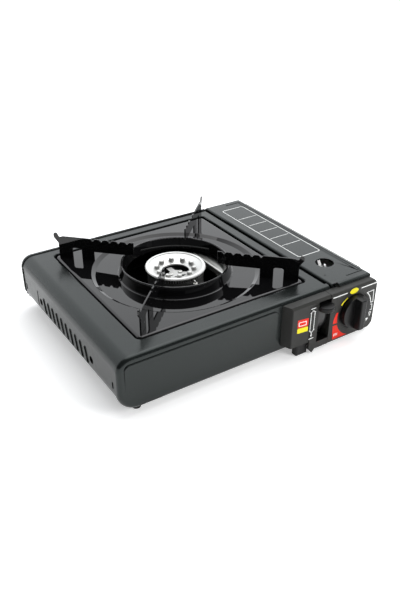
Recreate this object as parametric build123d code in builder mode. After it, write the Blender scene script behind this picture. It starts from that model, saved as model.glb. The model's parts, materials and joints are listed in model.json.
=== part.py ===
"""Portable single-burner gas stove with a lying cartridge, as separate pieces.

Millimetres. X runs to the right, Y to the back and Z up from the table.
The origin is in the middle of the stove's footprint, on the table.
"""
from build123d import *
import math
import os

os.makedirs("parts", exist_ok=True)

# Whole body
BODY_WIDTH = 344.0
BODY_DEPTH = 272.0
BODY_TOP = 74.2
BODY_BOTTOM = 8.4
TOP_BEND = 16.0
LOW_BEND = 23.0
SHEET = 1.0
LAP = 0.15
RUN_GAP = 0.4
SHAFT_GAP = 0.06
OVERRUN = 2.0

# Moulded fronts and knob
MOULD_DEPTH = 12.6
MOULD_WALL = 2.2
MOULD_ROUND = 1.6
KNOB_REACH = 16.0

# Cartridge and its bay
CARTRIDGE_R = 33.0
BAY_GAP = 1.0
BAY_AXIS_FROM_RIGHT = 36.7
BAY_AXIS_HEIGHT = 38.2
BAY_BEND = 6.0
BAY_RIGHT_WALL_TOP = 58.0
PARTITION_TOP = 64.0
PARTITION_FOLD = 9.0
PARTITION_NOTCH = 60.0
PARTITION_NOTCH_SILL = 30.0

# Tray and burner place
TRAY_LEFT_MARGIN = 39.5
TRAY_RIGHT_MARGIN = 15.5
TRAY_FROM_FRONT = 138.4

# Main case
CASE_PAST_PARTITION = 3.7
CASE_EDGE_FOLD = 7.0
CASE_FOLD_BEND = 2.0
CASE_WRAP = 42.0
TRAY_RECESS = 5.0
TRAY_LEDGE = 8.0
TRAY_GAP = 2.0
VENT_COUNT = 10
VENT_SPACING = 13.1
VENT_LENGTH = 20.2
VENT_WIDTH = 5.4
VENT_SLANT_ANGLE = 17.0
VENT_HEIGHT = 36.8
VENT_FIELD_LENGTH = 162.0
VENT_FIELD_HEIGHT = 25.0
VENT_FIELD_DEPTH = 0.45
VENT_HOLE_R = 4.4
VENT_HOLE_SPACING = 143.0
TAB_SLOT_WIDTH = 3.4
TAB_SLOT_LENGTH = 8.5
TAB_SLOT_FROM_END = 10.0

# End panels
FLANGE = 7.5
RIM_ROUND = 5.0
PRESS_DEPTH = 1.5
PRESS_CORNER = 6.0
PRESS_ROUND = 0.8
PRESS_SIDE = 7.7
PRESS_TOP_BORDER = 7.7
PRESS_FROM_RIGHT = 143.0
PRESS_FADE = 18.0
KEY_SLOT_LENGTH = 27.0
KEY_SLOT_WIDTH = 1.4
KEY_SLOT_FROM_LEFT = 36.5
KEY_SLOT_RISE = 2.6
PANEL_LID_GAP = 4.0
PANEL_CORNER = 6.0

# Base and feet
FOOT_R = 5.5
FOOT_DRAFT_ANGLE = 4.0
FOOT_FROM_LEFT = 25.5
FOOT_FROM_END = 13.5
FOOT_RIGHT_FROM_RIGHT = 111.0
FRONT_FOOT_WIDTH = 17.0
FRONT_FOOT_DEPTH = 9.0
FRONT_FOOT_ROUND = 2.0
AIR_SLOT_LENGTH = 26.0
AIR_SLOT_WIDTH = 5.0
AIR_SLOT_COUNT = 4
AIR_SLOT_SPACING = 16.0
AIR_SLOT_SPREAD = 118.0

# Lever housing
HOUSING_FROM_RIGHT = 137.2
HOUSING_SLANT = 5.2
HOUSING_BOTTOM = 17.0
HOUSING_TOP = 70.5
HOUSING_CHAMFER = 2.6
LEVER_SLOT_FROM_RIGHT = 94.0
LEVER_SLOT_SILL = 13.0
PANEL_SLOT_SILL = 20.0
SILL_BOTTOM = 4.0
LEVER_SLOT_HEAD = 67.0
PANEL_SLOT_MARGIN = 2.5
STRIP_WIDTH = 11.0
STRIP_PROUD = 0.8
STRIP_TOP = 64.0
TONGUE_TIP = 0.6
TONGUE_POINT = 6.0

# Control panel and knob
CONTROL_WIDTH = 74.8
CONTROL_BOTTOM = 2.6
CONTROL_TOP = 70.5
CONTROL_CORNER = 11.0
CONTROL_TOP_CORNER = 9.0
CONTROL_ROUND = 3.2
CONTROL_STEP = 1.2
CONTROL_STEP_HEIGHT = 13.0
KNOB_R = 21.5
KNOB_WELL_GAP = 2.2
KNOB_WELL_DEPTH = 1.0
KNOB_DISC = 7.0
KNOB_GRIP_WIDTH = 9.5
KNOB_GRIP_INSET = 0.6
KNOB_ROUND = 1.4
KNOB_DRAFT_ANGLE = 4.0
STEM_R = 3.0
STEM_IN_KNOB = 9.0
STEM_IN_VALVE = 9.0
STEM_HOLE_R = 6.0

# Regulator
REGULATOR_R = 20.0
REGULATOR_FRONT = 14.0
REGULATOR_LENGTH = 26.0
REGULATOR_FLAT = 17.0
INLET_BOSS_R = 9.0
INLET_BOSS_LENGTH = 4.0
INLET_R = 4.5
INLET_DEPTH = 12.0
VALVE_BOSS_R = 8.0
SEAL_R = 6.5
SEAL_THICK = 2.0
COVER_R = 12.0
COVER_THICK = 7.0
COVER_ROUND = 2.0
GAS_HEIGHT = 45.0
GAS_START_FROM_RIGHT = 54.0
GAS_START_FROM_FRONT = 25.0
JET_BOSS_R = 5.0
JET_BOSS_LENGTH = 10.0
JET_R = 3.2
JET_LENGTH = 13.0
JET_BORE_R = 0.6
TUBE_R = 8.0
TUBE_WALL = 1.2
PIEZO_R = 5.5
PIEZO_LENGTH = 34.0
LEAD_R = 1.2
LEAD_BEND = 9.0
LEAD_HOLE_R = 2.6
LEAD_HOLE_FROM_FRONT = 62.0
LEAD_TURN_FROM_FRONT = 54.0

# Valve bracket, lock plate and lock lever
BRACKET_SHEET = 1.2
SHELF_BACK = 44.0
SHELF_RIGHT_PAST_AXIS = 18.0
SHELF_STEP = 31.0
EAR_HALF = 5.0
EAR_DROP = 6.0
EAR_WIDE_HEIGHT = 54.0
LEVER_PIVOT_FROM_FRONT = 22.0
LEVER_PIVOT_HEIGHT = 43.0
LEVER_PIN_R = 2.0
LEVER_HUB_R = 4.6
LEVER_CLEAR = 1.6
LEVER_TURN_ANGLE = 40.0
DRUM_R = 31.0
DRUM_TOP_ANGLE = 32.0
DRUM_LOW_ANGLE = 42.0
PAD_R = 10.4
PAD_HEIGHT = 59.0
PAD_THICK = 6.0
PAD_STANDOFF = 1.6
PAD_ROUND = 1.4
CRANK_R = 10.0
CRANK_WIDTH = 4.4
CRANK_PIN_R = 1.6
CRANK_PIN_LENGTH = 5.6
LOCK_SHEET = 1.2
LOCK_TAB_HALF = 4.4
LOCK_SLOT_GAP = 0.3
LOCK_SLOT_PLAY = 1.0
FORK_REACH = 53.5
FORK_WIDTH = 5.0
FORK_SPREAD = 22.0
FORK_DROP = 11.0
PRONG_WIDTH = 4.0
PRONG_HEIGHT = 5.6
PRONG_FROM_FRONT = 43.0
PLATE_FRONT = 30.0
STUD_R = 2.0
STUD_HEAD_R = 3.6
STUD_HEAD = 1.0
STUD_SPREAD = 26.0
STUD_FROM_FRONT = 31.0
GUIDE_WIDTH = 12.0
GUIDE_PAST_REGULATOR = 10.5
GUIDE_RISE = 8.0

# Lid
LID_PROUD = 1.9
LID_GAP = 3.0
LID_EDGE_BEND = 2.5
LID_BEND = 9.0
LID_HINGE_FOLD = 6.0
LID_SKIRT = 22.0
LID_LIP = 4.0
LID_FRONT_REACH = 3.0
LID_BACK_GAP = 1.3
LID_ROUND = 5.0
LID_CORNER = 4.0
HINGE_FROM_EDGE = 5.0
HINGE_DROP = 6.6
HINGE_PIN_R = 1.5
HINGE_PIN_LENGTH = 8.5
EYE_R = 3.6
EYE_THICK = 2.0
EYE_FROM_PANEL = 3.0
WINDOW_R = 11.5
WINDOW_FROM_FRONT = 47.0
WINDOW_FROM_EDGE = 30.0
RIDGE_R = 0.9
RIDGE_COUNT = 2
RIDGE_SPACING = 3.6
RIDGE_FROM_RIGHT = 9.5
RIDGE_FROM_END = 14.0
BEAD_LENGTH = 27.0
BEAD_WIDTH = 3.4
BEAD_HEIGHT = 0.6
BEAD_TAPER_ANGLE = 45.0
BEAD_FROM_END = 11.5
BEAD_FROM_RIGHT = 21.5
DIMPLE_R = 1.8
DIMPLE_FROM_EDGE = 8.8
DIMPLE_FROM_FRONT = 22.7

# Drip tray
TRAY_CORNER = 6.0
OPENING_ROLL = 1.8
TRAY_ROLL = 3.6
TRAY_DROP_GAP = 0.3
TRAY_BELOW_CASE = 0.5
DISH_MARGIN = 9.0
DISH_STEP = 3.0
DISH_RUN = 5.0
DISH_SLOPE = 0.8
RING_FOOT_R = 69.0
RING_R = 65.3
RING_HEIGHT = 10.8
RING_WELL_R = 60.0
RING_WELL_DEPTH = 3.0
RING_BEND = 2.2
DISH_BEND = 1.6

# Pan-support arms, in distance from the burner's axis and height above the tray
ARM_SHEET = 1.8
ARM_HEIGHT = 28.6
ARM_CORNER_MARGIN = 7.5
ARM_PAST_RING = 13.3
ARM_LEG_FROM_DISH = 1.5
OUTER_LEG_SHARE = 0.39
INNER_LEG_SHARE = 0.35
ARM_WINDOW = 14.2
ARM_RING_GAP = 0.4
TEETH_PAST_LEG = 3.5
ARM_NOSE_SLOPE = 2.0
HORN_ROOT = 9.0
HORN_LEAN = 5.4
HORN_RISE = 4.0
HORN_WIDTH = 4.4
HORN_NOTCH = 1.8
HORN_NOTCH_IN = 1.4
HORN_SHOULDER = 6.0
HORN_BEND = 2.0
ARM_WINDOW_ROUND = 2.5
TOOTH_COUNT = 5
TOOTH_DEPTH = 3.0
TOOTH_VALLEY_SHARE = 0.75
TENON_LENGTH = 7.0
TENON_DROP = 2.4

# Burner
BURNER_R = 37.0
BURNER_RIM_HEIGHT = 76.8
BURNER_DISH = 5.6
BURNER_HOLE_R = 17.0
BURNER_SKIRT = 9.0
BURNER_WALL = 2.0
BURNER_TAPER = 2.6
BURNER_LIP = 3.8
LIP_STEP = 0.9
LIP_STEP_RUN = 0.4
NUB_COUNT = 10
NUB_R = 2.6
NUB_HEIGHT = 1.8
NUB_CIRCLE_R = 22.5
PORT_COUNT = 72
PORT_WIDTH = 1.3
PORT_HEIGHT = 3.6
PORT_DROP = 2.6
BOWL_FLOOR = 34.0
BOWL_CHAMFER = 3.0
BOWL_WALL = 1.6
SPIDER_DROP = 7.0
SPIDER_SHEET = 1.4
SPIDER_ARM_COUNT = 3
SPIDER_WIDTH = 7.0
SPIDER_HUB_R = 8.0
SCREW_HEAD_R = 3.0
SCREW_HEAD = 1.8
SCREW_TAPER_ANGLE = 20.0
SCREW_R = 1.5
SCREW_SPACING = 13.0
SCREW_FROM_EDGE = 6.0
CASE_SCREW_SPACING = 150.0
YOKE_WIDTH = 18.0
YOKE_SPAN = 96.0
YOKE_FOOT = 12.0
YOKE_BEND = 2.0
ELECTRODE_OFFSET = 41.5
CERAMIC_R = 2.6
CERAMIC_TOP = 70.5
CERAMIC_LENGTH = 16.0
ELECTRODE_R = 0.9
ELECTRODE_TIP = 4.0
CLIP_WIDTH = 8.0

# Heat plate
HEAT_SHEET = 1.0
HEAT_LENGTH = 78.0
HEAT_EDGE_FROM_BURNER = 48.5
HEAT_LIP = 7.0
HEAT_BEND = 1.5

# Places worked out from the sizes above
LEFT_X = -BODY_WIDTH / 2
RIGHT_X = BODY_WIDTH / 2
FRONT_Y = MOULD_DEPTH + KNOB_REACH - (BODY_DEPTH + MOULD_DEPTH + KNOB_REACH) / 2
BACK_Y = FRONT_Y + BODY_DEPTH
NEST = SHEET + LAP
CASE_LEFT = LEFT_X + NEST
CASE_TOP = BODY_TOP - NEST
CASE_BOTTOM = BODY_BOTTOM + NEST
CASE_FRONT = FRONT_Y + RIM_ROUND + LAP
CASE_BACK = BACK_Y - RIM_ROUND - LAP
CASE_LENGTH = CASE_BACK - CASE_FRONT
BAY_FRONT = FRONT_Y + NEST
BAY_LENGTH = BODY_DEPTH - 2 * NEST
BAY_X = RIGHT_X - BAY_AXIS_FROM_RIGHT
BAY_LEFT = BAY_X - CARTRIDGE_R - BAY_GAP
BAY_RIGHT = BAY_X + CARTRIDGE_R + BAY_GAP
BAY_FLOOR = BAY_AXIS_HEIGHT - CARTRIDGE_R - RUN_GAP
CASE_RIGHT = BAY_LEFT + CASE_PAST_PARTITION
TRAY_SIZE = CASE_RIGHT - LEFT_X - TRAY_LEFT_MARGIN - TRAY_RIGHT_MARGIN
TRAY_X = LEFT_X + TRAY_LEFT_MARGIN + TRAY_SIZE / 2
TRAY_Y = FRONT_Y + TRAY_FROM_FRONT
OPENING_SIZE = TRAY_SIZE + 2 * TRAY_GAP
DISH_R = TRAY_SIZE / 2 - DISH_MARGIN
LEDGE_TOP = CASE_TOP - TRAY_RECESS
TRAY_FLAT = CASE_TOP - TRAY_BELOW_CASE
BASE_BOTTOM = CASE_BOTTOM + SHEET
BASE_TOP = BASE_BOTTOM + SHEET
FACE_Y = FRONT_Y - MOULD_DEPTH
LID_LEFT = CASE_RIGHT + LID_GAP
LID_RIGHT = RIGHT_X
LID_TOP = CASE_TOP + LID_PROUD
LID_FRONT = FRONT_Y - LID_FRONT_REACH
LID_BACK = BACK_Y - LID_BACK_GAP
LID_LENGTH = LID_BACK - LID_FRONT
HINGE_X = LID_LEFT + HINGE_FROM_EDGE
HINGE_Z = LID_TOP - HINGE_DROP
PANEL_LOW_TOP = LID_TOP - SHEET - PANEL_LID_GAP
BAY_OUTSIDE = BAY_RIGHT + SHEET
SLOT_LEFT = RIGHT_X - LEVER_SLOT_FROM_RIGHT
SLOT_RIGHT = RIGHT_X - CONTROL_WIDTH
PIVOT_Y = FRONT_Y + LEVER_PIVOT_FROM_FRONT
LEVER_LEFT = SLOT_LEFT + LEVER_CLEAR
LEVER_RIGHT = SLOT_RIGHT - LEVER_CLEAR
LEVER_MID = (LEVER_LEFT + LEVER_RIGHT) / 2
SHELF_Z = BAY_AXIS_HEIGHT + REGULATOR_R + LAP
SHELF_TOP = SHELF_Z + BRACKET_SHEET
PLATE_Z = SHELF_TOP + RUN_GAP
KNOB_BACK = FACE_Y + KNOB_WELL_DEPTH - RUN_GAP
ARM_OUTER = TRAY_SIZE / math.sqrt(2) - ARM_CORNER_MARGIN
ARM_INNER = RING_R - ARM_PAST_RING
ARM_LEG_END = DISH_R + ARM_LEG_FROM_DISH
ARM_LEG_SPLIT_OUTER = ARM_OUTER - OUTER_LEG_SHARE * (ARM_OUTER - ARM_LEG_END)
ARM_LEG_SPLIT_INNER = ARM_LEG_END + INNER_LEG_SHARE * (ARM_OUTER - ARM_LEG_END)
ARM_PLAIN_TOP = ARM_LEG_END + TEETH_PAST_LEG
RING_TOP = TRAY_FLAT + RING_HEIGHT
GAS_X = RIGHT_X - GAS_START_FROM_RIGHT
GAS_Y = FRONT_Y + GAS_START_FROM_FRONT
GAS_RUN = math.hypot(TRAY_X - GAS_X, TRAY_Y - GAS_Y)
GAS_DIRECTION = ((TRAY_X - GAS_X) / GAS_RUN, (TRAY_Y - GAS_Y) / GAS_RUN, 0)
BOWL_TOP = BURNER_RIM_HEIGHT - BURNER_SKIRT
BOWL_R = BURNER_R - BURNER_TAPER
LEAD_Z = BASE_TOP + LAP + LEAD_R
case_screw_places = [
    (CASE_LEFT + CASE_WRAP - SCREW_FROM_EDGE, TRAY_Y - CASE_SCREW_SPACING / 2),
    (CASE_LEFT + CASE_WRAP - SCREW_FROM_EDGE, TRAY_Y + CASE_SCREW_SPACING / 2),
]
bracket_screw_places = [
    (TRAY_X - YOKE_SPAN / 2 - YOKE_FOOT / 2, TRAY_Y),
    (TRAY_X + YOKE_SPAN / 2 + YOKE_FOOT / 2, TRAY_Y),
]


def face_plane(y):
    """Upright plane across the stove: sketch x is X, sketch y is Z, and extruding goes forward."""
    return Plane(origin=(0, y, 0), x_dir=(1, 0, 0), z_dir=(0, -1, 0))


def side_plane(x):
    """Upright plane along the stove: sketch x is Y, sketch y is Z, and extruding goes right."""
    return Plane(origin=(x, 0, 0), x_dir=(0, 1, 0), z_dir=(1, 0, 0))


def gas_plane(distance):
    """Plane square to the gas line, this far from where the line starts at the regulator."""
    start = Vector(GAS_X, GAS_Y, GAS_HEIGHT)
    return Plane(origin=start + Vector(*GAS_DIRECTION) * distance, z_dir=GAS_DIRECTION)


def body_section(inset, right):
    """Outline of the body's section, bent at its two left corners."""
    with BuildSketch() as section:
        with BuildLine():
            bent = FilletPolyline(
                (right, BODY_TOP - inset),
                (LEFT_X + inset, BODY_TOP - inset),
                (LEFT_X + inset, BODY_BOTTOM + inset),
                (right, BODY_BOTTOM + inset),
                radius=[TOP_BEND - inset, LOW_BEND - inset],
            )
            Line(bent @ 1, bent @ 0)
        make_face()
    return section.sketch


# Main case: one sheet bent over the top, the left side and under the base
with BuildPart() as main_case:
    with BuildSketch(face_plane(CASE_FRONT)):
        with BuildLine():
            FilletPolyline(
                (CASE_RIGHT, CASE_TOP - CASE_EDGE_FOLD),
                (CASE_RIGHT, CASE_TOP),
                (CASE_LEFT, CASE_TOP),
                (CASE_LEFT, CASE_BOTTOM),
                (CASE_LEFT + CASE_WRAP, CASE_BOTTOM),
                radius=[CASE_FOLD_BEND, TOP_BEND - NEST, LOW_BEND - NEST],
            )
            offset(amount=SHEET, side=Side.LEFT)
        make_face()
    extrude(amount=-CASE_LENGTH)
    # Opening for the drip tray, with a turned-down wall and a ledge that carries the tray
    with BuildSketch(Plane.XY.offset(CASE_TOP)):
        with Locations((TRAY_X, TRAY_Y)):
            RectangleRounded(OPENING_SIZE, OPENING_SIZE, TRAY_CORNER)
    extrude(amount=-SHEET, mode=Mode.SUBTRACT)
    with BuildSketch(Plane.XY.offset(LEDGE_TOP)):
        with Locations((TRAY_X, TRAY_Y)):
            RectangleRounded(OPENING_SIZE + 2 * SHEET, OPENING_SIZE + 2 * SHEET, TRAY_CORNER + SHEET)
            RectangleRounded(OPENING_SIZE, OPENING_SIZE, TRAY_CORNER, mode=Mode.SUBTRACT)
    extrude(amount=TRAY_RECESS - SHEET / 2)
    with BuildSketch(Plane.XY.offset(LEDGE_TOP)):
        with Locations((TRAY_X, TRAY_Y)):
            RectangleRounded(OPENING_SIZE + 2 * SHEET, OPENING_SIZE + 2 * SHEET, TRAY_CORNER + SHEET)
            RectangleRounded(
                OPENING_SIZE - 2 * TRAY_LEDGE,
                OPENING_SIZE - 2 * TRAY_LEDGE,
                TRAY_CORNER,
                mode=Mode.SUBTRACT,
            )
    extrude(amount=-SHEET)
    opening_reach = OPENING_SIZE / 2 + LAP
    opening_edges = main_case.edges().filter_by(
        lambda e: abs(e.center().Z - CASE_TOP) < LAP
        and abs(e.center().X - TRAY_X) < opening_reach
        and abs(e.center().Y - TRAY_Y) < opening_reach
    )
    fillet(opening_edges, radius=OPENING_ROLL)
    # Shallow pressed field with slanted vents, round end holes and tab slots in the left side
    with BuildSketch(side_plane(CASE_LEFT)):
        with Locations((TRAY_Y, VENT_HEIGHT)):
            Rectangle(VENT_FIELD_LENGTH, VENT_FIELD_HEIGHT)
    extrude(amount=VENT_FIELD_DEPTH, mode=Mode.SUBTRACT)
    with BuildSketch(side_plane(CASE_LEFT - SHEET)):
        with Locations((TRAY_Y, VENT_HEIGHT)):
            with GridLocations(VENT_SPACING, 0, VENT_COUNT, 1):
                SlotOverall(VENT_LENGTH, VENT_WIDTH, rotation=90 - VENT_SLANT_ANGLE)
            with GridLocations(VENT_HOLE_SPACING, 0, 2, 1):
                Circle(VENT_HOLE_R)
        with Locations(
            (CASE_FRONT + TAB_SLOT_FROM_END, VENT_HEIGHT),
            (CASE_BACK - TAB_SLOT_FROM_END, VENT_HEIGHT),
        ):
            SlotOverall(TAB_SLOT_LENGTH, TAB_SLOT_WIDTH, rotation=90)
    extrude(amount=3 * SHEET, mode=Mode.SUBTRACT)
    # Holes for the screws that hold the case's lower fold to the base plate
    with BuildSketch(Plane.XY.offset(CASE_BOTTOM - OVERRUN)):
        with Locations(*case_screw_places):
            Circle(SCREW_R + LAP)
    extrude(amount=2 * OVERRUN, mode=Mode.SUBTRACT)
main_case.part.label = "main_case"
export_step(main_case.part, "parts/main_case.step")


def rimmed_block(front, inset, right):
    """Body section with a rolled edge, as deep as the panel's flange, inset from the panel's outside."""
    outer = FRONT_Y if front else BACK_Y
    inward = 1 if front else -1
    with BuildPart() as block:
        with BuildSketch(face_plane(outer + inward * inset)):
            add(body_section(inset, right))
        extrude(amount=-inward * FLANGE)
        rim_edges = block.faces().sort_by(Axis.Y)[0 if front else -1].edges()
        fillet(rim_edges.filter_by(lambda e: e.center().X < CASE_RIGHT - OVERRUN), radius=RIM_ROUND - inset)
    return block.part


def pressed_field(inset):
    """Pressing with round upper corners that stands proud at its top and fades out towards the lower edge."""
    left = LEFT_X + PRESS_SIDE + inset
    right = RIGHT_X - PRESS_FROM_RIGHT - inset
    top = BODY_TOP - PRESS_TOP_BORDER - inset
    face = FRONT_Y + inset
    with BuildPart() as field:
        with BuildSketch(side_plane(left)):
            with BuildLine():
                Polyline(
                    (face + SHEET, BODY_BOTTOM + PRESS_FADE),
                    (face, BODY_BOTTOM + PRESS_FADE),
                    (face - PRESS_DEPTH, top),
                    (face + SHEET, top),
                    close=True,
                )
            make_face()
        extrude(amount=right - left)
        fillet(field.edges().filter_by(Axis.Y).group_by(Axis.Z)[-1], radius=PRESS_CORNER - inset)
        if inset == 0:
            step_edges = field.faces().sort_by(Axis.Y)[0].edges()
            fillet(step_edges.filter_by(lambda e: e.center().Z > BODY_BOTTOM + PRESS_FADE + SHEET), radius=PRESS_ROUND)
    return field.part


def end_panel(front):
    """Front or back panel: a plate with a rolled rim, a pressed field and a low part across the bay."""
    outer = FRONT_Y if front else BACK_Y
    inward = 1 if front else -1
    shell = rimmed_block(front, 0, CASE_RIGHT)
    hollow = rimmed_block(front, SHEET, CASE_RIGHT + OVERRUN)
    raised = (pressed_field(0), pressed_field(SHEET)) if front else None
    with BuildPart() as panel:
        add(shell)
        add(hollow, mode=Mode.SUBTRACT)
        # The lower flange stops before the bay's wall
        with BuildSketch(Plane.XY.offset(BODY_BOTTOM + RIM_ROUND + LAP)):
            with Locations((BAY_LEFT - NEST - LAP, outer + inward * (SHEET + FLANGE / 2))):
                Rectangle(CASE_RIGHT - BAY_LEFT + NEST + OVERRUN, FLANGE, align=(Align.MIN, Align.CENTER))
        extrude(amount=-(RIM_ROUND + NEST + OVERRUN), mode=Mode.SUBTRACT)
        # Low plate across the cartridge bay
        with BuildSketch(face_plane(outer)) as low:
            with Locations((CASE_RIGHT - OVERRUN, BAY_FLOOR - SHEET)):
                Rectangle(
                    BAY_OUTSIDE - CASE_RIGHT + OVERRUN,
                    PANEL_LOW_TOP - BAY_FLOOR + SHEET,
                    align=(Align.MIN, Align.MIN),
                )
            fillet(low.vertices().group_by(Axis.X)[-1], radius=PANEL_CORNER)
        extrude(amount=-inward * SHEET)
        if front:
            # Pressed field that fades out towards the lower edge
            add(raised[0])
            add(raised[1], mode=Mode.SUBTRACT)
        # Narrow key slot low on the left
        with BuildSketch(face_plane(outer - inward * OVERRUN)):
            with Locations((LEFT_X + KEY_SLOT_FROM_LEFT, BODY_BOTTOM + KEY_SLOT_RISE)):
                SlotOverall(KEY_SLOT_LENGTH, KEY_SLOT_WIDTH)
        extrude(amount=-inward * (OVERRUN + SHEET + SHEET / 2), mode=Mode.SUBTRACT)
        if front:
            # Openings for the lock lever and the valve stem
            with BuildSketch(face_plane(outer - OVERRUN)):
                with Locations(((SLOT_LEFT + SLOT_RIGHT) / 2, (PANEL_SLOT_SILL + LEVER_SLOT_HEAD) / 2)):
                    Rectangle(
                        SLOT_RIGHT - SLOT_LEFT,
                        LEVER_SLOT_HEAD - PANEL_SLOT_SILL + 2 * PANEL_SLOT_MARGIN,
                    )
                with Locations((BAY_X, BAY_AXIS_HEIGHT)):
                    Circle(STEM_HOLE_R)
            extrude(amount=-(OVERRUN + 2 * SHEET), mode=Mode.SUBTRACT)
    return panel


front_panel = end_panel(True)
front_panel.part.label = "front_panel"
export_step(front_panel.part, "parts/front_panel.step")

back_panel = end_panel(False)
back_panel.part.label = "back_panel"
export_step(back_panel.part, "parts/back_panel.step")

# Base plate with air slots under the burner
with BuildPart() as base_plate:
    with BuildSketch(Plane.XY.offset(BASE_BOTTOM)):
        with Locations((CASE_LEFT + LOW_BEND, CASE_FRONT)):
            Rectangle(
                BAY_LEFT - SHEET - LAP - CASE_LEFT - LOW_BEND,
                CASE_LENGTH,
                align=(Align.MIN, Align.MIN),
            )
        with Locations((TRAY_X, TRAY_Y)):
            with GridLocations(AIR_SLOT_SPREAD, AIR_SLOT_SPACING, 2, AIR_SLOT_COUNT):
                SlotOverall(AIR_SLOT_LENGTH, AIR_SLOT_WIDTH, mode=Mode.SUBTRACT)
        with Locations(*case_screw_places, *bracket_screw_places):
            Circle(SCREW_R + LAP, mode=Mode.SUBTRACT)
    extrude(amount=SHEET)
base_plate.part.label = "base_plate"
export_step(base_plate.part, "parts/base_plate.step")

# Cartridge bay: a trough whose left wall parts it from the burner
with BuildPart() as bay_pan:
    with BuildSketch(face_plane(BAY_FRONT)):
        with BuildLine():
            FilletPolyline(
                (BAY_LEFT - PARTITION_FOLD, PARTITION_TOP),
                (BAY_LEFT, PARTITION_TOP),
                (BAY_LEFT, BAY_FLOOR),
                (BAY_RIGHT, BAY_FLOOR),
                (BAY_RIGHT, BAY_RIGHT_WALL_TOP),
                radius=[CASE_FOLD_BEND, BAY_BEND, BAY_BEND],
            )
            offset(amount=SHEET, side=Side.LEFT)
        make_face()
    extrude(amount=-BAY_LENGTH)
    # Front notch for the lock plate and the gas jet, and a hole for the ignition lead
    with BuildSketch(side_plane(BAY_LEFT - PARTITION_FOLD - OVERRUN)):
        with Locations((BAY_FRONT - OVERRUN, PARTITION_NOTCH_SILL)):
            Rectangle(
                PARTITION_NOTCH + OVERRUN,
                PARTITION_TOP - PARTITION_NOTCH_SILL + OVERRUN,
                align=(Align.MIN, Align.MIN),
            )
        with Locations((FRONT_Y + LEAD_HOLE_FROM_FRONT, LEAD_Z)):
            Circle(LEAD_HOLE_R)
    extrude(amount=PARTITION_FOLD + 2 * OVERRUN, mode=Mode.SUBTRACT)
bay_pan.part.label = "bay_pan"
export_step(bay_pan.part, "parts/bay_pan.step")

# Feet: three round ones and a block under the lever housing
for foot_name, foot_x, foot_y, foot_top in (
    ("foot_front_left", LEFT_X + FOOT_FROM_LEFT, FRONT_Y + FOOT_FROM_END, CASE_BOTTOM),
    ("foot_back_left", LEFT_X + FOOT_FROM_LEFT, BACK_Y - FOOT_FROM_END, CASE_BOTTOM),
    ("foot_back_right", RIGHT_X - FOOT_RIGHT_FROM_RIGHT, BACK_Y - FOOT_FROM_END, BASE_BOTTOM),
):
    with BuildPart() as foot:
        with BuildSketch(Plane.XY.offset(foot_top)):
            with Locations((foot_x, foot_y)):
                Circle(FOOT_R)
        extrude(amount=-foot_top, taper=FOOT_DRAFT_ANGLE)
    foot.part.label = foot_name
    export_step(foot.part, f"parts/{foot_name}.step")

with BuildPart() as foot_front_right:
    with BuildSketch(Plane.XY):
        with Locations((RIGHT_X - FOOT_RIGHT_FROM_RIGHT, FRONT_Y - FRONT_FOOT_DEPTH / 2)):
            RectangleRounded(FRONT_FOOT_WIDTH, FRONT_FOOT_DEPTH, FRONT_FOOT_ROUND)
    extrude(amount=HOUSING_BOTTOM)
foot_front_right.part.label = "foot_front_right"
export_step(foot_front_right.part, "parts/foot_front_right.step")

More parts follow.
